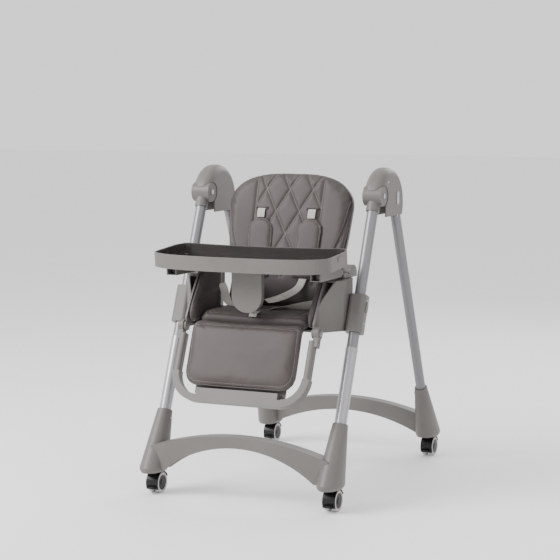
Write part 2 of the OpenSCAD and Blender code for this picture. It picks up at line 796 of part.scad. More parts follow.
module tray_insert() color(clear_grey) on_tray() difference() {
    union() {
        translate([0, 0, tray_h - insert_h]) linear_extrude(height = insert_h)
            polygon(tray_outline(tray_wall + insert_gap));
        translate([cup_x, -tray_len * 0.46, tray_h - insert_h - cup_depth]) cylinder(r = cup_r + insert_wall, h = cup_depth + 1);
    }
    translate([0, 0, tray_h - insert_h + insert_wall]) linear_extrude(height = insert_h)
        polygon(tray_outline(tray_wall + insert_gap + insert_wall));
    translate([cup_x, -tray_len * 0.46, tray_h - insert_h - cup_depth + insert_wall]) cylinder(r = cup_r, h = 60);
}

// ---------------------------------------------------------------- nodes

front_base();
left() front_leg_upper();  // front_leg_upper_left
front_leg_upper();  // front_leg_upper_right
left() front_leg_lower();  // front_leg_lower_left
front_leg_lower();  // front_leg_lower_right
left() leg_knuckle();  // leg_knuckle_left
leg_knuckle();  // leg_knuckle_right
hub_pins();
front_base_screws();
rear_base();
left() rear_leg();  // rear_leg_left
rear_leg();  // rear_leg_right
left() hub_housing();  // hub_housing_left
hub_housing();  // hub_housing_right
rear_base_screws();
left() fold_button();  // fold_button_left
fold_button();  // fold_button_right

casters = [["fl", -1, -1], ["fr", 1, -1], ["rl", -1, 1], ["rr", 1, 1]];
for (c = casters) caster_place(c[1], c[2]) {
    caster_hood();
    caster_axle();
    caster_wheel(-1);
    caster_wheel(1);
    caster_brake();
}

seat_shell();
left() slider();  // slider_left
slider();  // slider_right
tray_arms();
left() height_button();  // height_button_left
height_button();  // height_button_right
seat_pad();
lap_straps();
harness_buckle();
back_shell();
back_pad();
shoulder_pads();
shoulder_straps();
recline_handle();
legrest_frame();
calf_pad();
left() legrest_button();  // legrest_button_left
legrest_button();  // legrest_button_right
tray_base();
tray_post();
tray_insert();
left() tray_button();  // tray_button_left
tray_button();  // tray_button_right
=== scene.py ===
"""Looks of a folding baby high chair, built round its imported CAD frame.

The CAD nodes keep their shapes and get procedural finishes. Every soft part is replaced by a padded
piece with seams, piping and stitches, and the harness is woven webbing. Units are metres, +Z is up
and the child faces -Y.
"""

import json
import logging
import math
from collections.abc import Callable, Iterable, Sequence
from dataclasses import dataclass, field
from enum import Enum
from functools import cache
from typing import ClassVar

import bpy
import numpy as np
from mathutils import Matrix, Vector
from mathutils.bvhtree import BVHTree


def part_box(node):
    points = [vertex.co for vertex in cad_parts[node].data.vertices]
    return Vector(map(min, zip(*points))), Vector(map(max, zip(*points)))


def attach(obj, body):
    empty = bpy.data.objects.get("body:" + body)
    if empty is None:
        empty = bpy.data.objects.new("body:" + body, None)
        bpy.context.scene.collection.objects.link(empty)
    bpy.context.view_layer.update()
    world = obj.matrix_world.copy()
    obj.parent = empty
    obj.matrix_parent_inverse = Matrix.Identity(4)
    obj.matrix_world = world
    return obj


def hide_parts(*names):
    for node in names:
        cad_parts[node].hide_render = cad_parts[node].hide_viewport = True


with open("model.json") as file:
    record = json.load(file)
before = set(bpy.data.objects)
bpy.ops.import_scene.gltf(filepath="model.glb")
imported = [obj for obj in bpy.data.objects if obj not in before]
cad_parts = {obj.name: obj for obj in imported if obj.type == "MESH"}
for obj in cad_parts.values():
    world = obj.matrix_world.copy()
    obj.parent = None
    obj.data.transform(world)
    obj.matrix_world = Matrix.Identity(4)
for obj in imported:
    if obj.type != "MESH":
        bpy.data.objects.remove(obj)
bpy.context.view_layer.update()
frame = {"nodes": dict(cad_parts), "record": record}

LOG = logging.getLogger("high_chair")

Point2 = tuple[float, float]
Point3 = tuple[float, float, float]
Colour = tuple[float, float, float]

BACK_SLOPE = math.radians(15.5)
LEG_SLOPE = math.radians(23.0)
TRAY_SLOPE = math.radians(4.5)
BACK_THICK = 0.030
BACK_FOOT = 0.008


# ------------------------------------------------------------------ shader maths


class Wire:
    """A node's output that reads like a number in an expression.

    Arithmetic adds Math nodes to the graph it belongs to.
    """

    def __init__(self, graph: "Graph", socket: bpy.types.NodeSocket) -> None:
        """Keeps the graph and the output socket.

        Args:
            graph: the graph that new nodes go into.
            socket: the output this wire stands for.
        """
        self.graph = graph
        self.socket = socket

    def _op(self, operation: str, *values: "Wire | float") -> "Wire":
        """Adds one Math node.

        Args:
            operation: the node's operation, such as ADD.
            values: its inputs in order.

        Returns:
            The node's value.
        """
        links = dict(enumerate(values))
        return self.graph.add("ShaderNodeMath", {"operation": operation}, links)

    def __add__(self, other: "Wire | float") -> "Wire":
        """Returns self + other."""
        return self._op("ADD", self, other)

    __radd__ = __add__

    def __sub__(self, other: "Wire | float") -> "Wire":
        """Returns self - other."""
        return self._op("SUBTRACT", self, other)

    def __rsub__(self, other: "Wire | float") -> "Wire":
        """Returns other - self."""
        return self._op("SUBTRACT", other, self)

    def __mul__(self, other: "Wire | float") -> "Wire":
        """Returns self * other."""
        return self._op("MULTIPLY", self, other)

    __rmul__ = __mul__

    def sine(self) -> "Wire":
        """Returns the sine of self, in radians."""
        return self._op("SINE", self)

    def root(self) -> "Wire":
        """Returns the square root of self."""
        return self._op("SQRT", self)

    def ramp(self, low: float, high: float, to_low: float = 0.0, to_high: float = 1.0) -> "Wire":
        """Maps self from one range to another, clamped and eased at both ends.

        Args:
            low: the value that becomes to_low.
            high: the value that becomes to_high.
            to_low: the result at and below low.
            to_high: the result at and above high.

        Returns:
            The mapped value.
        """
        return self.graph.add(
            "ShaderNodeMapRange",
            {"interpolation_type": "SMOOTHSTEP"},
            {"Value": self, "From Min": low, "From Max": high, "To Min": to_low, "To Max": to_high},
        )


class Graph:
    """The node graph of one material, ending in one Principled shader."""

    def __init__(self, name: str) -> None:
        """Makes an empty material.

        Args:
            name: the material's name.
        """
        self.material = bpy.data.materials.new(name)
        self.material.use_nodes = True
        self.tree = self.material.node_tree
        self.tree.nodes.clear()

    def add(
        self,
        kind: str,
        settings: dict[str, object] | None = None,
        inputs: dict[str | int, object] | None = None,
        output: str | int = 0,
    ) -> Wire:
        """Adds a node of any type.

        Args:
            kind: the node's type name.
            settings: its properties.
            inputs: values or wires, by input name or number.
            output: the output to return.

        Returns:
            That output.
        """
        node = self.tree.nodes.new(kind)
        for key, value in (settings or {}).items():
            setattr(node, key, value)
        for key, value in (inputs or {}).items():
            if isinstance(value, Wire):
                self.tree.links.new(value.socket, node.inputs[key])
            else:
                node.inputs[key].default_value = value
        return Wire(self, node.outputs[output])

    def place(self) -> Wire:
        """Returns the point's place in the piece's own frame, in metres."""
        return self.add("ShaderNodeTexCoord", output="Object")

    def split(self, vector: Wire) -> tuple[Wire, Wire, Wire]:
        """Returns the three parts of a vector."""
        first = self.add("ShaderNodeSeparateXYZ", inputs={0: vector})
        outs = first.socket.node.outputs
        return first, Wire(self, outs[1]), Wire(self, outs[2])

    def shift(self, vector: Wire, offset: Point3) -> Wire:
        """Returns the vector moved by an offset."""
        return self.add("ShaderNodeVectorMath", {"operation": "ADD"}, {0: vector, 1: offset})

    def noise(self, vector: Wire, scale: float, detail: float = 3.0, rough: float = 0.55) -> Wire:
        """Returns fractal noise from 0 to 1.

        Args:
            vector: where to read it.
            scale: features per metre.
            detail: number of octaves.
            rough: how strong the fine octaves are.

        Returns:
            The noise.
        """
        inputs = {"Vector": vector, "Scale": scale, "Detail": detail, "Roughness": rough}
        return self.add("ShaderNodeTexNoise", None, inputs)

    def cells(self, vector: Wire, scale: float, feature: str = "F1") -> Wire:
        """Returns the distances of a Voronoi pattern.

        Args:
            vector: where to read it.
            scale: cells per metre.
            feature: the Voronoi feature.

        Returns:
            The pattern.
        """
        inputs = {"Vector": vector, "Scale": scale}
        return self.add("ShaderNodeTexVoronoi", {"feature": feature}, inputs, "Distance")

    def blend(self, factor: Wire | float, first: Colour | Wire, second: Colour | Wire) -> Wire:
        """Mixes two colours.

        Args:
            factor: 0 for the first, 1 for the second.
            first: a colour or a wire.
            second: a colour or a wire.

        Returns:
            The mixed colour.
        """
        node = self.tree.nodes.new("ShaderNodeMix")
        node.data_type = "RGBA"
        for index, value in ((0, factor), (6, first), (7, second)):
            if isinstance(value, Wire):
                self.tree.links.new(value.socket, node.inputs[index])
            elif index == 0:
                node.inputs[index].default_value = value
            else:
                node.inputs[index].default_value = (*value, 1.0)
        return Wire(self, node.outputs[2])

    def bump(self, height: Wire, distance: float, strength: float = 1.0, under: Wire | None = None) -> Wire:
        """Turns a height into a surface normal.

        Args:
            height: the height pattern, from 0 to 1.
            distance: how deep it is, in metres.
            strength: how much of it to use.
            under: a normal to build on.

        Returns:
            The normal.
        """
        inputs: dict[str | int, object] = {"Height": height, "Distance": distance, "Strength": strength}
        if under is not None:
            inputs["Normal"] = under
        return self.add("ShaderNodeBump", None, inputs)

    def principled(self, **inputs: object) -> Wire:
        """Adds a Principled shader.

        Args:
            inputs: its inputs, with underscores for spaces.

        Returns:
            The shader.
        """
        named = {key.replace("_", " "): value for key, value in inputs.items()}
        for key, value in named.items():
            if isinstance(value, tuple) and len(value) == 3:
                named[key] = (*value, 1.0)
        return self.add("ShaderNodeBsdfPrincipled", None, named)

    def finish(self, **inputs: object) -> bpy.types.Material:
        """Ends the graph in a Principled shader.

        Args:
            inputs: its inputs, with underscores for spaces.

        Returns:
            The material.
        """
        self.add_output(self.principled(**inputs))
        return self.material

    def add_output(self, shader: Wire) -> None:
        """Links a shader to the material's output."""
        out = self.tree.nodes.new("ShaderNodeOutputMaterial")
        self.tree.links.new(shader.socket, out.inputs["Surface"])


# ------------------------------------------------------------------ finishes


@dataclass(frozen=True)
class Moulded:
    """Moulded plastic with a fine spark-eroded grain and slight wear.

    Attributes:
        name: the material's name.
        colour: its base colour.
        rough: its mean roughness.
        grain: depth of the grain, in metres.
    """

    name: str
    colour: Colour
    rough: float = 0.42
    grain: float = 0.00012

    def build(self) -> bpy.types.Material:
        """Returns the material."""
        g = Graph(self.name)
        at = g.place()
        broad = g.noise(at, 7.0, 3.0)
        grain = g.noise(at, 1500.0, 2.0)
        scuff = g.noise(at, 60.0, 6.0, 0.7).ramp(0.62, 0.78)
        dark = tuple(c * 0.93 for c in self.colour)
        light = tuple(min(1.0, c * 1.06) for c in self.colour)
        colour = g.blend(broad.ramp(0.3, 0.7), dark, light)
        colour = g.blend(scuff * 0.10, colour, tuple(min(1.0, c * 1.35) for c in self.colour))
        return g.finish(
            Base_Color=colour,
            Roughness=self.rough + (broad - 0.5) * 0.08 + scuff * 0.08,
            Specular_IOR_Level=0.30,
            Normal=g.bump(grain, self.grain, 0.6),
        )


@dataclass(frozen=True)
class Coated:
    """Painted metal tube with a fine metallic fleck and an orange-peel surface.

    Attributes:
        name: the material's name.
        colour: its base colour.
        metal: how metallic it is.
        rough: its mean roughness.
    """

    name: str
    colour: Colour
    metal: float = 0.35
    rough: float = 0.33

    def build(self) -> bpy.types.Material:
        """Returns the material."""
        g = Graph(self.name)
        at = g.place()
        fleck = g.cells(at, 2600.0, "F1").ramp(0.1, 0.5)
        peel = g.noise(at, 420.0, 2.0)
        rub = g.noise(at, 35.0, 5.0, 0.65).ramp(0.6, 0.75)
        dark = tuple(c * 0.88 for c in self.colour)
        colour = g.blend(fleck, dark, self.colour)
        return g.finish(
            Base_Color=colour,
            Metallic=self.metal,
            Roughness=self.rough + (peel - 0.5) * 0.06 + rub * 0.05,
            Coat_Weight=0.15,
            Specular_IOR_Level=0.25,
            Coat_Roughness=0.18,
            Normal=g.bump(peel, 0.00008, 0.5),
        )


@dataclass(frozen=True)
class Leatherette:
    """Soft leatherette: pebbled grain, fine pores and faint stretch folds.

    Attributes:
        name: the material's name.
        colour: its base colour.
        rough: its mean roughness.
    """

    name: str
    colour: Colour
    rough: float = 0.50

    def build(self) -> bpy.types.Material:
        """Returns the material."""
        g = Graph(self.name)
        at = g.place()
        pebble = g.cells(at, 620.0, "SMOOTH_F1")
        pores = g.noise(at, 2400.0, 2.0)
        broad = g.noise(at, 9.0, 3.0)
        folds = g.noise(at, 38.0, 4.0, 0.5)
        dark = tuple(c * 0.90 for c in self.colour)
        light = tuple(c * 1.09 for c in self.colour)
        colour = g.blend(broad.ramp(0.3, 0.7), dark, light)
        colour = g.blend(pebble.ramp(0.45, 0.9) * 0.35, colour, tuple(c * 0.72 for c in self.colour))
        soft = g.bump(folds, 0.0007, 0.45)
        fine = g.bump(pebble * 0.8 + pores * 0.2, 0.00028, 0.7, soft)
        return g.finish(
            Base_Color=colour,
            Roughness=self.rough + (pebble - 0.4) * 0.12 + (broad - 0.5) * 0.08,
            Specular_IOR_Level=0.25,
            Sheen_Weight=0.03,
            Sheen_Roughness=0.5,
            Normal=fine,
        )


@dataclass(frozen=True)
class Webbing:
    """Woven webbing: a herringbone of warp and weft along the strap.

    Attributes:
        name: the material's name.
        colour: its base colour.
        pitch: distance between threads, in metres.
    """

    name: str
    colour: Colour
    pitch: float = 0.0011

    def build(self) -> bpy.types.Material:
        """Returns the material."""
        g = Graph(self.name)
        at = g.place()
        x, y, z = g.split(at)
        turn = 2.0 * math.pi / self.pitch
        along = (z - y * 0.6) * turn
        across = x * turn
        rib = (along + (across * 0.5).sine() * 2.2).sine()
        thread = (across + along * 0.5).sine()
        weave = (rib * 0.6 + thread * 0.4) * 0.5 + 0.5
        fuzz = g.noise(at, 1800.0, 3.0)
        broad = g.noise(at, 22.0, 3.0)
        dark = tuple(c * 0.62 for c in self.colour)
        light = tuple(min(1.0, c * 1.12) for c in self.colour)
        # painted shade: the weave is coloured darker where its bump is low, in the hollows between threads,
        # on top of the pattern itself
        colour = g.blend(weave.ramp(0.1, 0.8), dark, light)
        colour = g.blend(broad.ramp(0.35, 0.7) * 0.2, colour, dark)
        return g.finish(
            Base_Color=colour,
            Roughness=0.78 + (fuzz - 0.5) * 0.15,
            Sheen_Weight=0.05,
            Sheen_Roughness=0.4,
            Normal=g.bump(weave * 0.8 + fuzz * 0.2, 0.00035, 0.8),
        )


@dataclass(frozen=True)
class Tread:
    """Caster wheel: an off-white tyre round a black hub disc, by distance from the axle.

    Attributes:
        name: the material's name.
        centre: a point on the axle, which runs along X.
        hub: radius of the black disc, in metres.
        tyre: colour of the tyre.
        disc: colour of the disc.
    """

    name: str
    centre: Point3
    hub: float
    tyre: Colour = (0.46, 0.445, 0.43)
    disc: Colour = (0.007, 0.007, 0.0075)

    def build(self) -> bpy.types.Material:
        """Returns the material."""
        g = Graph(self.name)
        at = g.shift(g.place(), tuple(-c for c in self.centre))
        _, y, z = g.split(at)
        radius = (y * y + z * z).root()
        tyre = radius.ramp(self.hub - 0.0003, self.hub + 0.0003)
        dirt = g.noise(at, 160.0, 5.0, 0.7)
        band = radius.ramp(0.0295, 0.0325)
        grey = g.blend(dirt.ramp(0.35, 0.75) * (0.12 + band * 0.3), self.tyre, (0.18, 0.17, 0.16))
        colour = g.blend(tyre, self.disc, grey)
        fine = g.noise(at, 1300.0, 2.0)
        return g.finish(
            Base_Color=colour,
            Roughness=0.30 + tyre * 0.16 + dirt * 0.08,
            Specular_IOR_Level=0.22,
            Normal=g.bump(fine, 0.0001, 0.5),
        )


@dataclass(frozen=True)
class Metal:
    """Bare or plated metal with fine turning marks.

    Attributes:
        name: the material's name.
        colour: its base colour.
        rough: its mean roughness.
    """

    name: str
    colour: Colour
    rough: float = 0.28

    def build(self) -> bpy.types.Material:
        """Returns the material."""
        g = Graph(self.name)
        at = g.place()
        marks = g.noise(at, 900.0, 4.0, 0.6)
        haze = g.noise(at, 90.0, 3.0)
        colour = g.blend(haze.ramp(0.3, 0.7), tuple(c * 0.86 for c in self.colour), self.colour)
        return g.finish(
            Base_Color=colour,
            Metallic=0.95,
            Roughness=self.rough + (marks - 0.5) * 0.14,
            Normal=g.bump(marks, 0.00006, 0.5),
        )


@dataclass(frozen=True)
class Clear:
    """Clear smoky plastic of the lift-out insert.

    Attributes:
        name: the material's name.
        colour: its tint.
    """

    name: str
    colour: Colour

    def build(self) -> bpy.types.Material:
        """Returns the material."""
        g = Graph(self.name)
        at = g.place()
        smear = g.noise(at, 30.0, 5.0, 0.6).ramp(0.45, 0.75)
        scratch = g.noise(at, 700.0, 3.0, 0.6)
        gloss = g.principled(
            Base_Color=g.blend(smear * 0.3, self.colour, tuple(c * 0.85 for c in self.colour)),
            Roughness=0.06 + smear * 0.05,
            Coat_Weight=0.8,
            Coat_Roughness=0.03,
            Normal=g.bump(scratch, 0.00002, 0.4),
        )
        through = g.add("ShaderNodeBsdfTransparent", None, {"Color": (0.80, 0.79, 0.79, 1.0)})
        g.add_output(g.add("ShaderNodeMixShader", None, {0: smear * 0.03 + 0.13, 1: through, 2: gloss}))
        return g.material


@dataclass(frozen=True)
class Floor:
    """Plain pale floor with a soft sheen."""

    name: str = "floor"

    def build(self) -> bpy.types.Material:
        """Returns the material."""
        g = Graph(self.name)
        soft = g.noise(g.place(), 2.0, 2.0)
        return g.finish(
            Base_Color=g.blend(soft, (0.86, 0.86, 0.86), (0.89, 0.89, 0.89)),
            Roughness=0.50 + soft * 0.04,
            Emission_Color=(1.0, 1.0, 1.0),
            Emission_Strength=0.05,
        )


class Finish(Enum):
    """The record's material slots and what each is made of."""

    PLASTIC = Moulded("plastic_grey", (0.130, 0.119, 0.113))
    TUBE = Coated("tube_grey", (0.20, 0.197, 0.21))
    SILVER = Coated("tube_silver", (0.36, 0.355, 0.375), 0.5, 0.28)
    STEEL = Metal("steel", (0.50, 0.50, 0.505))
    BUTTON = Metal("button_silver", (0.55, 0.55, 0.555), 0.22)
    BLACK = Moulded("caster_black", (0.007, 0.007, 0.0075), 0.34, 0.00008)
    LEATHER = Leatherette("pad_leather", (0.062, 0.052, 0.050))
    WEB = Webbing("webbing", (0.50, 0.47, 0.43))
    CLEAR = Clear("insert_clear", (0.06, 0.058, 0.058))

    @cache
    def material(self) -> bpy.types.Material:
        """Returns the finish's own material, made the first time it is asked for.

        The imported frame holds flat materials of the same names, so none is looked up by name.
        """
        return self.value.build()


# ------------------------------------------------------------------ meshes


@dataclass(frozen=True)
class Plane:
    """A working frame turned about X: local +Z runs up the slope and local -Y faces the child.

    Attributes:
        origin: its origin in the row frame.
        lean: how far local +Z leans towards row +Y, in radians.
    """

    origin: Vector
    lean: float

    def matrix(self) -> Matrix:
        """Returns the matrix from local to row."""
        return Matrix.Translation(self.origin) @ Matrix.Rotation(-self.lean, 4, "X")

    def put(self, points: np.ndarray) -> np.ndarray:
        """Returns local points, one per row, in the row frame."""
        m = np.array(self.matrix())
        return points @ m[:3, :3].T + m[:3, 3]

    def take(self, points: np.ndarray) -> np.ndarray:
        """Returns row points in the local frame."""
        m = np.array(self.matrix().inverted())
        return points @ m[:3, :3].T + m[:3, 3]


class Mesher:
    """Small mesh tools shared by the soft parts."""

    @staticmethod
    def make(
        name: str,
        points: np.ndarray,
        faces: Iterable[Sequence[int]],
        finish: bpy.types.Material,
        smooth: bool = True,
    ) -> bpy.types.Object:
        """Makes an object.

        Args:
            name: its name.
            points: its vertices, one per row.
            faces: its faces as vertex numbers.
            finish: its material.
            smooth: whether it is shaded smooth.

        Returns:
            The object, linked to the scene.
        """
        mesh = bpy.data.meshes.new(name)
        mesh.from_pydata([tuple(map(float, p)) for p in points], [], [tuple(map(int, f)) for f in faces])
        mesh.validate()
        mesh.update()
        mesh.polygons.foreach_set("use_smooth", [smooth] * len(mesh.polygons))
        obj = bpy.data.objects.new(name, mesh)
        bpy.context.scene.collection.objects.link(obj)
        mesh.materials.append(finish)
        return obj

    @staticmethod
    def points(obj: bpy.types.Object) -> np.ndarray:
        """Returns an object's vertices, one per row."""
        flat = np.empty(len(obj.data.vertices) * 3)
        obj.data.vertices.foreach_get("co", flat)
        return flat.reshape(-1, 3)

    @staticmethod
    def move(obj: bpy.types.Object, points: np.ndarray) -> None:
        """Gives an object's vertices new places."""
        obj.data.vertices.foreach_set("co", points.ravel())
        obj.data.update()

    @staticmethod
    def normals(obj: bpy.types.Object) -> np.ndarray:
        """Returns an object's vertex normals, one per row."""
        flat = np.empty(len(obj.data.vertices) * 3)
        obj.data.vertices.foreach_get("normal", flat)
        return flat.reshape(-1, 3)

    @staticmethod
    def apply(obj: bpy.types.Object) -> None:
        """Applies all of an object's modifiers."""
        graph = bpy.context.evaluated_depsgraph_get()
        made = bpy.data.meshes.new_from_object(obj.evaluated_get(graph), depsgraph=graph)
        old = obj.data
        obj.modifiers.clear()
        obj.data = made
        made.name = obj.name
        bpy.data.meshes.remove(old)
        made.polygons.foreach_set("use_smooth", [True] * len(made.polygons))

    @classmethod
    def modify(cls, obj: bpy.types.Object, kind: str, **settings: object) -> None:
        """Adds one modifier and applies it.

        Args:
            obj: the object.
            kind: the modifier's type.
            settings: its settings.
        """
        made = obj.modifiers.new(kind.lower(), kind)
        for key, value in settings.items():
            setattr(made, key, value)
        cls.apply(obj)

    @staticmethod
    def even(path: Sequence[Sequence[float]], step: float, closed: bool = False) -> np.ndarray:
        """Resamples a path.

        Args:
            path: its points.
            step: the wanted distance between points.
            closed: whether the last point joins the first.

        Returns:
            Evenly spaced points, one per row.
        """
        pts = np.array(path, float)
        if closed:
            pts = np.vstack([pts, pts[:1]])
        length = np.concatenate([[0.0], np.cumsum(np.linalg.norm(np.diff(pts, axis=0), axis=1))])
        count = max(3, int(round(length[-1] / step)) + 1)
        at = np.linspace(0.0, length[-1], count)
        if closed:
            at = at[:-1]
        return np.column_stack([np.interp(at, length, pts[:, k]) for k in range(pts.shape[1])])

    @staticmethod
    def smooth_path(path: Sequence[Sequence[float]], count: int) -> np.ndarray:
        """Runs a Catmull-Rom curve through points.

        Args:
            path: the points, two or more.
            count: how many points to return.

        Returns:
            Points on the curve, one per row.
        """
        p = np.array(path, float)
        ends = np.vstack([2 * p[0] - p[1], p, 2 * p[-1] - p[-2]])
        out = []
        for t in np.linspace(0, len(p) - 1, count):
            i = min(int(t), len(p) - 2)
            u = t - i
            a, b, c, d = ends[i : i + 4]
            square, cube = 2 * a - 5 * b + 4 * c - d, 3 * b - a - 3 * c + d
            out.append(0.5 * (2 * b + (c - a) * u + square * u**2 + cube * u**3))
        return np.array(out)

    @classmethod
    def tube(
        cls, name: str, path: np.ndarray, radius: float, finish: bpy.types.Material, closed: bool
    ) -> bpy.types.Object:
        """Sweeps a round section, such as piping, along a path.

        Args:
            name: the object's name.
            path: the path's points, one per row.
            radius: the section's radius.
            finish: the material.
            closed: whether the path joins up.

        Returns:
            The tube.
        """
        sides, n = 8, len(path)
        ahead = np.roll(path, -1, axis=0) - np.roll(path, 1, axis=0)
        if not closed:
            ahead[0], ahead[-1] = path[1] - path[0], path[-1] - path[-2]
        ahead /= np.linalg.norm(ahead, axis=1)[:, None]
        up = np.array([0.13, -0.97, 0.2])
        side = np.cross(ahead, up)
        side /= np.linalg.norm(side, axis=1)[:, None]
        over = np.cross(side, ahead)
        turn = np.arange(sides) * 2 * math.pi / sides
        rings = path[:, None] + radius * (
            np.cos(turn)[None, :, None] * side[:, None] + np.sin(turn)[None, :, None] * over[:, None]
        )
        faces = []
        for i in range(n if closed else n - 1):
            j = (i + 1) % n
            faces += [
                (i * sides + k, i * sides + (k + 1) % sides, j * sides + (k + 1) % sides, j * sides + k)
                for k in range(sides)
            ]
        if not closed:
            faces += [tuple(range(sides))[::-1], tuple((n - 1) * sides + k for k in range(sides))]
        return cls.make(name, rings.reshape(-1, 3), faces, finish)

    @classmethod
    def ribbon(
        cls,
        name: str,
        path: np.ndarray,
        across: np.ndarray,
        width: float,
        thick: float,
        finish: bpy.types.Material,
    ) -> bpy.types.Object:
        """Sweeps flat webbing along a path.

        Args:
            name: the object's name.
            path: the path's points, one per row.
            across: the direction of the webbing's width at each point.
            width: the webbing's width.
            thick: its thickness.
            finish: the material.

        Returns:
            The ribbon.
        """
        n = len(path)
        ahead = np.gradient(path, axis=0)
        ahead /= np.linalg.norm(ahead, axis=1)[:, None]
        across = across - (across * ahead).sum(1)[:, None] * ahead
        across /= np.linalg.norm(across, axis=1)[:, None]
        flat = np.cross(ahead, across)
        upper = [(-1, 0.3), (-0.9, 0.5), (0.9, 0.5), (1, 0.3)]
        shape = upper + [(-u, -v) for u, v in upper]
        k = len(shape)
        rings = np.stack([path + across * (u * width / 2) + flat * (v * thick) for u, v in shape], axis=1)
        faces = [
            (i * k + a, i * k + (a + 1) % k, (i + 1) * k + (a + 1) % k, (i + 1) * k + a)
            for i in range(n - 1)
            for a in range(k)
        ]
        faces += [tuple(range(k))[::-1], tuple((n - 1) * k + a for a in range(k))]
        return cls.make(name, rings.reshape(-1, 3), faces, finish)


def back_plane() -> Plane:
    """Returns the back pad's own frame: x = 0, y = 0 on its front face, z along its slope."""
    low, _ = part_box("back_pad")
    sine, cosine = math.sin(BACK_SLOPE), math.cos(BACK_SLOPE)
    y = low.y - BACK_FOOT * sine
    z = low.z + BACK_THICK * sine - BACK_FOOT * cosine
    return Plane(Vector((0, y, z)), BACK_SLOPE)


# ------------------------------------------------------------------ soft parts


@dataclass(frozen=True)
class Seam:
    """A sewn line on the front of a pad, in the pad's local (x, z).

    Attributes:
        path: the line's points.
        depth: how deep it pulls the surface in.
        width: how wide the valley is.
        stitched: whether its stitches show.
    """

    path: tuple[Point2, ...]
    depth: float = 0.004
    width: float = 0.006
    stitched: bool = False

    def pull(self, x: np.ndarray, z: np.ndarray) -> np.ndarray:
        """Returns how far each point of the surface is pulled in.

        Args:
            x: the points' local x.
            z: the points' local z.

        Returns:
            Depths in metres.
        """
        p = np.column_stack([x, z])
        best = np.full(len(p), 1.0)
        for a, b in zip(self.path[:-1], self.path[1:]):
            a2, ab = np.array(a), np.array(b) - np.array(a)
            t = np.clip(((p - a2) @ ab) / (ab @ ab), 0.0, 1.0)
            best = np.minimum(best, np.linalg.norm(p - (a2 + t[:, None] * ab), axis=1))
        narrow, broad = best / self.width, best / (3 * self.width)
        return self.depth * (0.7 * np.exp(-(narrow**2)) + 0.3 * np.exp(-(broad**2)))


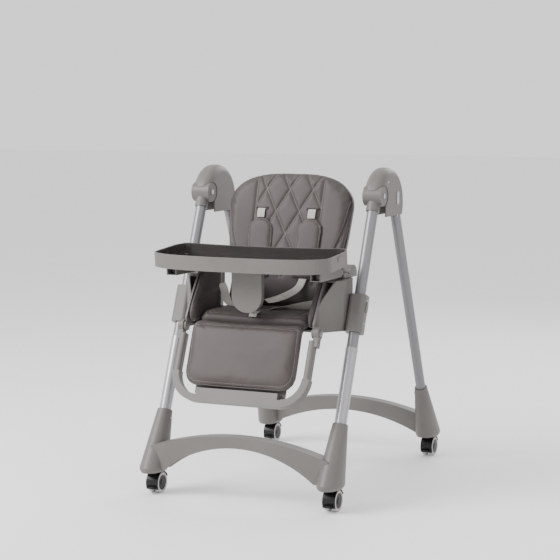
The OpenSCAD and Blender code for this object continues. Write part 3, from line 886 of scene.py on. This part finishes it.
@dataclass
class Cushion:
    """A stuffed pad of any outline: crowned, swollen by a cloth simulation, then seamed.

    Attributes:
        name: the piece's name.
        body: the CAD body it rides on.
        plane: the frame its outline is drawn in.
        outline: its outline in local (x, z), in order.
        front: local y of its front face before it swells.
        back: local y of its flat back face.
        edge: radius of its rounded edge.
        crown: how far its middle stands proud.
        cap: how far the simulation may move a point.
        seams: its sewn lines.
        replaces: the CAD nodes it stands for.
        shape: an extra move of local points, such as a bend, before it swells.
        fill: how full it is, from 0 to 1. Not used.
        step: distance between points of the first mesh.
    """

    name: str
    body: str
    plane: Plane
    outline: list[Point2]
    front: float
    back: float
    edge: float = 0.010
    crown: float = 0.004
    cap: float = 0.006
    seams: list[Seam] = field(default_factory=list)
    replaces: tuple[str, ...] = ()
    shape: Callable[[np.ndarray], np.ndarray] | None = None
    fill: float = 0.6
    step: float = 0.006
    obj: bpy.types.Object | None = None

    VOXEL: ClassVar[float] = 0.005
    PRESSURE: ClassVar[float] = 4.0
    FRAMES: ClassVar[int] = 20

    def _first(self) -> bpy.types.Object:
        """Returns the pad before it swells: rings from the outline to the middle, front and back."""
        rim = Mesher.even(self.outline, self.step, closed=True)
        middle = (rim.max(0) + rim.min(0)) / 2
        reach = float(np.min(rim.max(0) - rim.min(0))) / 2
        count = max(6, int(reach / self.step))
        seg = np.roll(rim, -1, axis=0) - rim
        rows, depth = [], []
        for i in range(count):
            ring = middle + (rim - middle) * (1 - i / count)
            rel = ring[:, None] - rim[None]
            t = np.clip((rel * seg[None]).sum(2) / (seg * seg).sum(1)[None], 0, 1)
            gap = np.linalg.norm(rel - t[..., None] * seg[None], axis=2).min(1)
            rows.append(ring)
            depth.append(gap)
        n = len(rim)
        ring = np.vstack(rows + [middle[None]])
        gap = np.concatenate(depth + [[reach]])
        round_off = self.edge * (1 - np.sqrt(np.clip(1 - (1 - np.clip(gap / self.edge, 0, 1)) ** 2, 0, 1)))
        dome = self.crown * np.clip(gap / reach, 0, 1) ** 0.6
        front = self.front + round_off - dome
        rear = self.back - round_off * 0.8
        middle_y = (self.front + self.back) / 2
        front, rear = np.minimum(front, middle_y - 0.001), np.maximum(rear, middle_y + 0.001)
        both = np.vstack([np.column_stack([ring[:, 0], y, ring[:, 1]]) for y in (front, rear)])
        half, faces = len(ring), []
        for i in range(count - 1):
            for k in range(n):
                a, b = i * n + k, i * n + (k + 1) % n
                faces.append((a, b, b + n, a + n))
                faces.append((half + a, half + a + n, half + b + n, half + b))
        last = (count - 1) * n
        for k in range(n):
            a, b = last + k, last + (k + 1) % n
            faces.append((a, b, count * n))
            faces.append((half + b, half + a, half + count * n))
        for k in range(n):
            a, b = k, (k + 1) % n
            faces.append((b, a, half + a, half + b))
        if self.shape is not None:
            both = self.shape(both)
        obj = Mesher.make(self.name, self.plane.put(both), faces, Finish.LEATHER.material())
        Mesher.modify(obj, "REMESH", mode="VOXEL", voxel_size=self.VOXEL, use_smooth_shade=True)
        Mesher.modify(obj, "SMOOTH", factor=0.5, iterations=3)
        return obj

    def _swell(self, obj: bpy.types.Object) -> None:
        """Inflates the pad with cloth, and caps how far each point may move."""
        before = Mesher.points(obj)
        cloth = obj.modifiers.new("cloth", "CLOTH")
        cloth.settings.use_pressure = True
        cloth.settings.uniform_pressure_force = self.PRESSURE
        cloth.settings.effector_weights.gravity = 0.0
        cloth.settings.quality = 5
        scene = bpy.context.scene
        for number in range(1, self.FRAMES + 1):
            scene.frame_set(number)
        Mesher.apply(obj)
        scene.frame_set(1)
        moved = Mesher.points(obj) - before
        far = np.linalg.norm(moved, axis=1)
        scale = self.cap * np.tanh(far / self.cap) / np.maximum(far, 1e-9)
        Mesher.move(obj, before + moved * scale[:, None])

    def _sew(self, obj: bpy.types.Object) -> None:
        """Pulls the front face in along each seam."""
        here = self.plane.take(Mesher.points(obj))
        normal = Mesher.normals(obj) @ np.array(self.plane.matrix())[:3, :3]
        facing = np.clip(-normal[:, 1] * 1.6, 0.0, 1.0)
        pull = np.zeros(len(here))
        for seam in self.seams:
            pull = np.maximum(pull, seam.pull(here[:, 0], here[:, 2]))
        here[:, 1] += pull * facing
        Mesher.move(obj, self.plane.put(here))

    def front_of(self, points: np.ndarray) -> np.ndarray:
        """Drops local (x, z) points onto the pad's front.

        Args:
            points: local x and z, one pair per row.

        Returns:
            Row points on the surface. A point that misses the pad is left out.
        """
        mesh = self.obj.data
        tree = BVHTree.FromPolygons([v.co for v in mesh.vertices], [p.vertices for p in mesh.polygons])
        turn = self.plane.matrix()
        ahead = (turn.to_3x3() @ Vector((0, 1, 0))).normalized()
        found = []
        for x, z in points:
            hit, _, _, _ = tree.ray_cast(turn @ Vector((x, -0.2, z)), ahead)
            if hit is not None:
                found.append(hit)
        return np.array(found)

    def build(self) -> bpy.types.Object:
        """Makes the pad, its seams and its stitches.

        Returns:
            The pad.
        """
        obj = self._first()
        self._swell(obj)
        Mesher.modify(obj, "SUBSURF", levels=1)
        self._sew(obj)
        obj.data.materials.clear()
        obj.data.materials.append(Finish.LEATHER.material())
        obj.data.polygons.foreach_set("use_smooth", [True] * len(obj.data.polygons))
        self.obj = obj
        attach(obj, self.body)
        if self.replaces:
            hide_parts(*self.replaces)
        self._stitch()
        return obj

    def _stitch(self) -> None:
        """Lays a row of short stitches along each seam that shows them."""
        points, faces = [], []
        for seam in self.seams:
            if not seam.stitched:
                continue
            spots = self.front_of(Mesher.even(seam.path, 0.0026))
            if len(spots) < 4:
                continue
            out = np.array(self.plane.matrix().to_3x3() @ Vector((0, -1, 0)))
            for a, b in zip(spots[:-1:2], spots[1::2]):
                ahead = b - a
                side = np.cross(ahead, out)
                if np.linalg.norm(side) < 1e-6 or np.linalg.norm(ahead) > 0.006:
                    continue
                side *= 0.0004 / np.linalg.norm(side)
                base = len(points)
                lift = out * 0.0005
                middle = (a + b) / 2 + lift
                points += [a - side, a + side, b + side, b - side, middle - side, middle + side]
                stitch = [(0, 1, 5, 4), (4, 5, 2, 3), (0, 4, 3), (1, 2, 5), (0, 3, 2, 1)]
                faces += [tuple(base + k for k in f) for f in stitch]
        if points:
            thread = Mesher.make(f"{self.name}_stitches", np.array(points), faces, Finish.WEB.material())
            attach(thread, self.body)

    def pipe(
        self, name: str, path: Sequence[Point2], radius: float = 0.0022, closed: bool = False
    ) -> bpy.types.Object | None:
        """Lays piping on the pad's front.

        Args:
            name: the piping's name.
            path: its route in local (x, z).
            radius: its radius.
            closed: whether it joins up.

        Returns:
            The piping, or None where the route misses the pad.
        """
        spots = self.front_of(Mesher.even(path, 0.005, closed))
        if len(spots) < 6:
            return None
        kernel = np.array([1, 2, 3, 2, 1]) / 9
        mode = "wrap" if closed else "edge"
        parts = [np.pad(spots[:, k], 2, mode=mode) for k in range(3)]
        smooth = np.column_stack([np.convolve(part, kernel, "valid") for part in parts])
        piece = Mesher.tube(name, smooth, radius, Finish.LEATHER.material(), closed)
        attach(piece, self.body)
        return piece


class Outline:
    """Closed outlines that the pads are cut to."""

    @staticmethod
    def rounded(half: float, low: float, high: float, low_r: float, high_r: float) -> list[Point2]:
        """Returns a rectangle with round corners.

        Args:
            half: half its width.
            low: its lower edge.
            high: its upper edge.
            low_r: radius of the lower corners.
            high_r: radius of the upper corners.

        Returns:
            Its points, anticlockwise.
        """
        corners = [(half, low, low_r, -90), (half, high, high_r, 0)]
        corners += [(-half, high, high_r, 90), (-half, low, low_r, 180)]
        out = []
        for x, z, r, start in corners:
            cx, cz = x - math.copysign(r, x), z + (r if z == low else -r)
            out += [
                (cx + r * math.cos(math.radians(start + a)), cz + r * math.sin(math.radians(start + a)))
                for a in range(0, 91, 10)
            ]
        return out

    @staticmethod
    def backrest() -> list[Point2]:
        """Returns the back pad's outline: straight sides in the seat, wide and round above it."""
        low, wide, top, shoulder = 0.181, 0.217, 0.443, 0.325
        arc = []
        for a in range(0, 181, 5):
            c, s = math.cos(math.radians(a)), math.sin(math.radians(a))
            arc.append((math.copysign(abs(c) ** 0.72, c) * wide, shoulder + (top - shoulder) * s**0.85))
        right = [(low - 0.03, -0.003), (low - 0.008, 0.005), (low, 0.03), (low, 0.150)]
        right += [(0.202, 0.186), (0.211, 0.246)]
        return right + arc + [(-x, z) for x, z in reversed(right)]


class Back:
    """The quilted back pad, its wings, its piping and its tag."""

    QUILT_X = 0.040
    QUILT_Z = 0.072
    PANEL = 0.113

    def __init__(self) -> None:
        """Finds the back's own frame from its CAD box."""
        self.plane = back_plane()

    def _quilt(self) -> list[Seam]:
        """Returns the diamonds between the two long seams."""
        lines = []
        slope = self.QUILT_Z / self.QUILT_X
        for k in range(-5, 6):
            start = 0.380 + k * 2 * self.QUILT_Z
            for way in (-1, 1):
                pts = []
                for x in np.linspace(-self.PANEL, self.PANEL, 24):
                    z = start + way * slope * x
                    if 0.10 < z < 0.436 - 0.9 * x * x:
                        pts.append((float(x), float(z)))
                if len(pts) > 2:
                    lines.append(Seam((pts[0], pts[-1]), 0.0042, 0.0042, True))
        return lines

    @staticmethod
    def _wings(points: np.ndarray) -> np.ndarray:
        """Returns the points with the lower sides brought forward, as the child's side supports."""
        out = points.copy()
        side = np.clip((np.abs(points[:, 0]) - 0.115) / 0.09, 0, 1)
        low = 1 - np.clip((points[:, 2] - 0.16) / 0.20, 0, 1)
        out[:, 1] -= 0.010 * side**2 * (0.35 + 0.65 * low)
        return out

    def build(self) -> Cushion:
        """Makes the back.

        Returns:
            The back pad.
        """
        edge_r = [(self.PANEL, 0.08), (self.PANEL, 0.30), (0.115, 0.405)]
        wing_r = [(0.214, 0.350), (0.203, 0.285), (0.190, 0.235), (0.172, 0.180), (0.160, 0.110)]
        seams = self._quilt()
        for side in (-1, 1):
            seams.append(Seam(tuple((side * x, z) for x, z in edge_r), 0.005, 0.005, True))
            seams.append(Seam(tuple((side * x, z) for x, z in wing_r), 0.006, 0.006, True))
        pad = Cushion(
            "back_cushion", "back", self.plane, Outline.backrest(), 0.003, 0.0285, edge=0.013, crown=0.006,
            cap=0.007, seams=seams, replaces=("back_pad",), shape=self._wings, fill=0.7,
        )
        pad.build()
        for side, name in ((-1, "left"), (1, "right")):
            inner = Mesher.smooth_path([(side * (x - 0.007), z) for x, z in wing_r], 40)
            pad.pipe(f"back_wing_piping_{name}", [tuple(p) for p in inner], 0.0020)
        self._slots(pad)
        self._tag(pad)
        return pad

    def _slots(self, pad: Cushion) -> None:
        """Adds the two bound slots that the shoulder straps come out of, each with a black strip sunk in it
        as painted shadow in the opening.
        """
        for side, name in ((-1, "left"), (1, "right")):
            x, z = side * 0.087, 0.313
            route = [(x - 0.021, z), (x + 0.021, z)]
            for row, lift in ((0, 0.0), (1, 0.006)):
                path = Mesher.even([(a, b + lift) for a, b in route], 0.004)
                spots = pad.front_of(path)
                leather = Finish.LEATHER.material()
                bound = Mesher.tube(f"strap_slot_{name}_{row}", spots, 0.0019, leather, False)
                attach(bound, "back")
            # painted shadow: a thin black tube sunk into each slot stands in for the shade inside the opening
            spots = pad.front_of(Mesher.even([(a, b + 0.003) for a, b in route], 0.004))
            sunk = spots + np.array([0, 0.0006, 0])
            dark = Mesher.tube(f"strap_slot_gap_{name}", sunk, 0.0016, Finish.BLACK.material(), False)
            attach(dark, "back")

    def _tag(self, pad: Cushion) -> None:
        """Adds a blank woven tag sewn onto the back's right edge."""
        root, middle = 0.194, 0.374
        out = np.array(self.plane.matrix().to_3x3() @ Vector((0, -1, 0)))
        for name, reach, half, lift, thick, finish in (
            ("back_tag", 0.019, 0.0200, 0.0004, 0.0012, Finish.BLACK),
            ("back_tag_face", 0.0165, 0.0165, 0.0014, 0.0007, Finish.TUBE),
        ):
            turn = [math.radians(a) for a in range(-90, 91, 15)]
            end = root + reach - 0.006
            curve = [(end + 0.006 * math.cos(a), middle + 0.006 * math.sin(a)) for a in turn]
            curve = [(x, z + math.copysign(half - 0.006, z - middle)) for x, z in curve]
            pts = np.array([(root, middle - half), *curve, (root, middle + half)])
            foot = pad.front_of(pts)
            n = len(foot)
            solid = np.vstack([foot + out * (lift + thick), foot + out * lift])
            faces = [tuple(range(n)), tuple(range(2 * n - 1, n - 1, -1))]
            faces += [(k, n + k, n + (k + 1) % n, (k + 1) % n) for k in range(n)]
            tag = Mesher.make(name, solid, faces, finish.material(), smooth=False)
            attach(tag, "back")


@dataclass(frozen=True)
class CheekPlane(Plane):
    """A cheek's working frame: local -Y faces the middle of the seat and local X runs along row Y.

    Attributes:
        side: -1 for the left and 1 for the right.
    """

    side: int = 1

    def matrix(self) -> Matrix:
        """Returns the matrix from local to row."""
        turn = Matrix(((0, self.side, 0), (self.side, 0, 0), (0, 0, 1))).to_4x4()
        return Matrix.Translation(self.origin) @ turn


class Seat:
    """The seat cushion and the padded cheeks that line the shell's sides."""

    def __init__(self) -> None:
        """Finds the seat's levels from the CAD boxes."""
        self.low, self.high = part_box("seat_pad")
        self.back_low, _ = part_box("back_pad")

    def build(self) -> None:
        """Makes the seat cushion and both cheeks."""
        low = self.low
        seat_top = self.back_low.z + BACK_THICK * math.sin(BACK_SLOPE) - 0.006
        front, rear = low.y + 0.002, self.back_low.y + 0.022
        flat = Plane(Vector((0, 0, seat_top)), math.radians(90))
        outline = Outline.rounded(0.186, front - 0.004, rear, 0.022, 0.014)
        seams = [
            Seam(((-0.184, front + 0.012), (0.184, front + 0.012)), 0.004, 0.006, True),
            Seam(((-0.150, front + 0.014), (-0.150, rear)), 0.003, 0.006, True),
            Seam(((0.150, front + 0.014), (0.150, rear)), 0.003, 0.006, True),
        ]
        depth = seat_top - low.z
        Cushion(
            "seat_cushion", "seat", flat, outline, 0.003, depth - 0.001, edge=0.014, crown=0.005, cap=0.006,
            seams=seams, replaces=("seat_pad",), fill=0.65,
        ).build()
        for side, name in ((-1, "left"), (1, "right")):
            self._cheek(side, name)

    def _cheek(self, side: int, name: str) -> None:
        """Makes one padded cheek, drawn in (y, z) and stood up along X.

        Args:
            side: -1 for the left and 1 for the right.
            name: the side's name.
        """
        low, high = self.low, self.high
        top = high.z - 0.001
        front, rear = low.y, self.back_low.y
        slope = math.tan(BACK_SLOPE)
        rear_top = rear + (top - self.back_low.z) * slope
        rim = [
            (rear, low.z + 0.006), (front + 0.004, low.z + 0.006), (front - 0.026, low.z + 0.030),
            (front - 0.010, low.z + 0.070), (front + 0.022, low.z + 0.110), (front + 0.052, low.z + 0.150),
            (front + 0.080, top - 0.008), (front + 0.100, top), (rear_top - 0.004, top),
            (rear_top + 0.006, top - 0.008), ((rear + rear_top) / 2 + 0.026, (top + self.back_low.z) / 2),
            (rear + 0.022, self.back_low.z + 0.020),
        ]
        rim = [tuple(p) for p in Mesher.smooth_path(rim + rim[:1], 90)[:-1]]
        turned = [(y * side, z) for y, z in rim]
        outer = high.x - 0.0008
        plane = CheekPlane(Vector((side * outer, 0, 0)), 0.0, side)
        seam = Seam(((side * (front + 0.02), low.z + 0.075), (side * rear, low.z + 0.095)), 0.003, 0.006)
        Cushion(
            f"seat_cheek_{name}", "seat", plane, turned, -0.017, -0.001, edge=0.008, crown=0.003, cap=0.004,
            seams=[seam], fill=0.6, shape=lambda points: self._thin(points, side, rear),
        ).build()


    @staticmethod
    def _thin(points: np.ndarray, side: int, rear: float) -> np.ndarray:
        """Returns a cheek's points with its rear part thinned, so that it clears the back pad.

        Args:
            points: the cheek's local points.
            side: -1 for the left and 1 for the right.
            rear: row y of the back pad's front edge.
        """
        out = points.copy()
        behind = np.clip((points[:, 0] * side - (rear - 0.022)) / 0.022, 0, 1)
        out[:, 1] *= 1 - 0.6 * behind
        return out


class LegRest:
    """The calf pad that hangs from the front of the seat."""

    def __init__(self) -> None:
        """Finds the hinge from the CAD boxes."""
        low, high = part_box("legrest_button_right")
        self.plane = Plane(Vector((0, (low.y + high.y) / 2, (low.z + high.z) / 2)), LEG_SLOPE)

    @staticmethod
    def _roll(points: np.ndarray) -> np.ndarray:
        """Returns the points with the top edge rolled back over the seat's front."""
        out = points.copy()
        over = np.clip((points[:, 2] - (-0.012)) / 0.034, 0, 1)
        out[:, 1] += 0.012 * over**2
        return out

    def build(self) -> None:
        """Makes the calf pad with its border piping."""
        top, low, half = 0.022, -0.190, 0.186
        rim = Outline.rounded(half, low, top, 0.048, 0.016)
        inset = Outline.rounded(half - 0.014, low + 0.014, top - 0.022, 0.038, 0.010)
        pad = Cushion(
            "calf_cushion", "leg_rest", self.plane, rim, -0.023, 0.007, edge=0.013, crown=0.005, cap=0.007,
            seams=[Seam(tuple(inset) + (inset[0],), 0.0035, 0.005, True)], replaces=("calf_pad",),
            shape=self._roll, fill=0.7,
        )
        pad.build()
        edge = Outline.rounded(half - 0.0055, low + 0.0055, top - 0.018, 0.044, 0.010)
        pad.pipe("calf_piping", edge, 0.0022, closed=True)


class Harness:
    """Shoulder covers, shoulder straps, lap straps and the crotch strap."""

    WIDTH = 0.025
    THICK = 0.0015

    def __init__(self, plane: Plane) -> None:
        """Keeps the back's working frame.

        Args:
            plane: the back's frame.
        """
        self.plane = plane
        low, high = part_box("harness_buckle")
        self.buckle = Vector(((low.x + high.x) / 2, (low.y + high.y) / 2, high.z))

    def _web(
        self, name: str, body: str, path: np.ndarray, across: np.ndarray, replaces: Sequence[str] = ()
    ) -> None:
        """Makes one strap.

        Args:
            name: its name.
            body: the body it rides on.
            path: its middle line, in the row frame.
            across: the direction of its width at each point.
            replaces: CAD nodes it stands for.
        """
        strap = Mesher.ribbon(name, path, across, self.WIDTH, self.THICK, Finish.WEB.material())
        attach(strap, body)
        if replaces:
            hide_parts(*replaces)

    def build(self, back: Cushion) -> None:
        """Makes the whole harness.

        Args:
            back: the back pad that the straps lie on.
        """
        for side, name in ((-1, "left"), (1, "right")):
            self._cover(side, name)
            self._shoulder(side, name, back)
            self._lap(side, name)
        self._crotch()

    def _cover(self, side: int, name: str) -> None:
        """Makes one padded shoulder cover with piping."""
        centre = side * 0.082
        raw = Outline.rounded(0.0465, 0.084, 0.290, 0.030, 0.044)
        lean = 0.035 * side
        rim = [(centre + x + lean * (z - 0.2), z) for x, z in raw]
        inner = Outline.rounded(0.0375, 0.093, 0.281, 0.022, 0.036)
        line = [(centre + x + lean * (z - 0.2), z) for x, z in inner]
        replaces = ("shoulder_pads",) if side < 0 else ()
        pad = Cushion(
            f"shoulder_cover_{name}", "back", self.plane, rim, -0.0155, -0.0065, edge=0.006, crown=0.0015,
            cap=0.003, seams=[Seam(tuple(line) + (line[0],), 0.0022, 0.0032, True)], replaces=replaces,
            fill=0.55, step=0.005,
        )
        pad.build()
        inset = [(x * 0.935, z) for x, z in raw]
        rim_line = [(centre + x + lean * (z - 0.2), 0.187 + (z - 0.187) * 0.968) for x, z in inset]
        pad.pipe(f"shoulder_piping_{name}", rim_line, 0.0020, closed=True)

    def _shoulder(self, side: int, name: str, back: Cushion) -> None:
        """Makes the strap from the back's slot down through the cover to the buckle."""
        x = side * 0.087
        top = back.front_of(np.array([(x, 0.3135)]))[0]
        out = np.array(self.plane.matrix().to_3x3() @ Vector((0, -1, 0)))
        knots = [top - out * 0.004, top + out * 0.004]
        for z in (0.300, 0.285):
            knots.append(back.front_of(np.array([(x, z)]))[0] + out * 0.006)
        path = Mesher.smooth_path(knots, 14)
        replaces = ("shoulder_straps",) if side < 0 else ()
        self._web(f"shoulder_strap_top_{name}", "back", path, np.tile([1.0, 0, 0], (len(path), 1)), replaces)
        local = [(side * 0.079, -0.010, 0.112), (side * 0.080, -0.014, 0.088), (side * 0.072, -0.026, 0.060)]
        local += [(side * 0.050, -0.052, 0.034), (side * 0.026, -0.084, 0.014), (side * 0.010, -0.108, 0.004)]
        path = Mesher.smooth_path(self.plane.put(np.array(local)), 40)
        turn = np.interp(np.linspace(0, 1, 40), [0, 0.25, 0.6, 1], [0.0, 0.1, 0.6, 0.3]) * side
        across = np.column_stack([np.cos(turn), -0.3 * np.sin(turn), -np.sin(turn)])
        self._web(f"shoulder_strap_low_{name}", "back", path, across)

    def _lap(self, side: int, name: str) -> None:
        """Makes one lap strap, which leaves the seat's side, twists once and ends in the buckle."""
        low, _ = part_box("back_pad")
        b = self.buckle
        if side < 0:  # each row is a point, then the direction of the width there
            knots = [
                (-0.180, low.y - 0.030, b.z + 0.062, 0.9, 0.4, 0),
                (-0.166, low.y - 0.042, b.z + 0.046, 0.9, 0.4, 0),
                (-0.156, low.y - 0.048, b.z + 0.022, 0.9, 0.5, 0),
                (-0.140, low.y - 0.060, b.z + 0.005, 0.5, 0.9, 0.2),
                (-0.104, low.y - 0.078, b.z + 0.001, 0, 1, 0.1),
                (-0.060, low.y - 0.098, b.z + 0.002, 0, 1, 0.3),
                (-0.020, b.y, b.z - 0.005, 0, 1, 0),
            ]
        else:
            knots = [
                (0.182, low.y - 0.040, b.z + 0.030, 0, 0.4, 1),
                (0.151, low.y - 0.060, b.z + 0.016, 0, 0.3, 1),
                (0.114, low.y - 0.076, b.z + 0.009, 0, -0.3, 1),
                (0.078, low.y - 0.088, b.z + 0.005, 0, -0.9, 0.6),
                (0.044, low.y - 0.104, b.z + 0.004, 0, -1, 0.1),
                (0.020, b.y, b.z - 0.005, 0, -1, 0),
            ]
        n = 70
        path = Mesher.smooth_path([k[:3] for k in knots], n)
        across = Mesher.smooth_path([k[3:] for k in knots], n)
        replaces = ("lap_straps",) if side < 0 else ()
        self._web(f"lap_strap_{name}", "seat", path, across, replaces)

    def _crotch(self) -> None:
        """Makes the short strap from the seat up into the buckle."""
        b = self.buckle
        knots = [(0, b.y - 0.050, b.z - 0.016), (0, b.y - 0.040, b.z - 0.006), (0, b.y - 0.018, b.z - 0.004)]
        path = Mesher.smooth_path(knots, 14)
        self._web("crotch_strap", "seat", path, np.tile([1.0, 0, 0], (14, 1)))


# ------------------------------------------------------------------ hard parts


class HardParts:
    """Finishes for the CAD nodes that show, and small trim that the CAD leaves out."""

    def __init__(self, nodes: dict[str, bpy.types.Object], record: dict) -> None:
        """Keeps the nodes and the slot of each.

        Args:
            nodes: the CAD objects by name.
            record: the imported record.
        """
        self.nodes = nodes
        self.slots = {row["node"]: row["material_slot"] for row in record["subparts"]}

    def paint(self) -> None:
        """Gives every CAD node the finish of its slot."""
        by_slot = {finish.value.name: finish for finish in Finish}
        for name, obj in self.nodes.items():
            slot = self.slots[name]
            if slot == "wheel_white":
                low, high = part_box(name)
                middle = tuple((low + high) / 2)
                tread = Tread(f"tread_{name}", middle, 0.0235)
                material = tread.build()
            else:
                material = by_slot[slot].material()
            obj.data.materials.clear()
            obj.data.materials.append(material)
            LOG.info("finish %s on %s", slot, name)

    def stud(
        self, name: str, body: str, at: Vector, out: Vector, radius: float, high: float, finish: Finish
    ) -> None:
        """Adds a round rivet or screw head with a rounded rim and a round recess.

        Args:
            name: its name.
            body: the body it rides on.
            at: the middle of its foot.
            out: the direction it stands in.
            radius: its radius.
            high: its height.
            finish: its finish.
        """
        out = out.normalized()
        turn = out.to_track_quat("Z", "X").to_matrix()
        shape = [(1, 0), (1, 0.5), (0.9, 0.85), (0.7, 1), (0.3, 1), (0.22, 0.5)]
        profile = [(radius * r, high * z) for r, z in shape]
        n = 24
        angles = np.arange(n) * 2 * math.pi / n
        rings = [(r * math.cos(a), r * math.sin(a), z) for r, z in profile for a in angles]
        points = [at + turn @ Vector(spot) for spot in rings]
        faces = [
            (i * n + k, i * n + (k + 1) % n, (i + 1) * n + (k + 1) % n, (i + 1) * n + k)
            for i in range(len(profile) - 1)
            for k in range(n)
        ]
        faces.append(tuple((len(profile) - 1) * n + k for k in range(n)))
        faces.append(tuple(reversed(range(n))))
        obj = Mesher.make(name, np.array([tuple(p) for p in points]), faces, finish.material())
        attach(obj, body)

    def trim(self) -> None:
        """Adds rivets on the hubs and the sliders."""
        for side, name in ((-1, "left"), (1, "right")):
            outward = Vector((side, 0, 0))
            low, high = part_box(f"hub_housing_{name}")
            face, middle = high.x if side > 0 else low.x, (low + high) / 2
            for k, (y, z) in enumerate(((-0.052, 0.036), (0.028, -0.072))):
                at = Vector((face - side * 0.0004, middle.y + y, middle.z + z))
                self.stud(f"hub_screw_{name}_{k}", "rear_frame", at, outward, 0.0036, 0.0012, Finish.STEEL)
            low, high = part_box(f"slider_{name}")
            face, middle = high.x if side > 0 else low.x, (low + high) / 2
            for k, dz in enumerate((-0.026, 0.040)):
                at = Vector((face - side * 0.0003, middle.y + dz * 0.41, middle.z + dz))
                self.stud(f"slider_screw_{name}_{k}", "seat", at, outward, 0.003, 0.001, Finish.STEEL)


# ------------------------------------------------------------------ stage


@dataclass(frozen=True)
class Lamp:
    """One soft studio light.

    Attributes:
        name: its name.
        at: where it is.
        aim: what it points at.
        size: its side, in metres.
        power: its power, in watts.
    """

    name: str
    at: Point3
    aim: Point3
    size: float
    power: float

    def build(self) -> None:
        """Adds the light."""
        data = bpy.data.lights.new(self.name, "AREA")
        data.size = self.size
        data.energy = self.power
        obj = bpy.data.objects.new(self.name, data)
        obj.location = self.at
        obj.rotation_mode = "QUATERNION"
        obj.rotation_quaternion = (Vector(self.aim) - Vector(self.at)).to_track_quat("-Z", "Y")
        bpy.context.scene.collection.objects.link(obj)


class Studio:
    """Floor, sky, lights and camera."""

    CAMERA_AT = Vector((2.13827, -4.87700, 1.20719))
    CAMERA_AIM = Vector((-0.0425, -0.0472, 0.6362))
    LENS = 107.04

    def build(self) -> None:
        """Builds the stage and sets the scene's camera."""
        size = 30.0
        corners = np.array([(-size, -size, 0), (size, -size, 0), (size, size, 0), (-size, size, 0)])
        floor = Mesher.make("floor", corners, [(0, 1, 2, 3)], Floor().build(), smooth=False)
        world = bpy.data.worlds.new("sky")
        world.use_nodes = True
        world.node_tree.nodes["Background"].inputs["Color"].default_value = (1, 1, 1, 1)
        world.node_tree.nodes["Background"].inputs["Strength"].default_value = 1.25
        bpy.context.scene.world = world
        for lamp in (
            Lamp("key", (-2.4, -2.6, 3.0), (0, 0, 0.6), 2.2, 250.0),
            Lamp("fill", (3.2, -1.2, 2.2), (0, 0, 0.6), 2.6, 12.0),
            Lamp("rim", (0.6, 3.2, 2.6), (0, 0, 0.7), 2.0, 60.0),
        ):
            lamp.build()
        data = bpy.data.cameras.new("camera")
        data.lens = self.LENS
        data.sensor_width = 36.0
        data.clip_end = 100.0
        camera = bpy.data.objects.new("camera", data)
        camera.location = self.CAMERA_AT
        camera.rotation_mode = "QUATERNION"
        camera.rotation_quaternion = (self.CAMERA_AIM - self.CAMERA_AT).to_track_quat("-Z", "Y")
        bpy.context.scene.collection.objects.link(camera)
        bpy.context.scene.camera = camera


def main() -> None:
    """Builds everything in order."""
    logging.basicConfig(level=logging.INFO, format="%(message)s")
    Studio().build()
    hard = HardParts(frame["nodes"], frame["record"])
    hard.paint()
    hard.trim()
    back = Back()
    back_pad = back.build()
    LOG.info("back pad made")
    Seat().build()
    LOG.info("seat made")
    LegRest().build()
    LOG.info("calf pad made")
    Harness(back.plane).build(back_pad)
    LOG.info("harness made")


if __name__ == "__main__":
    main()
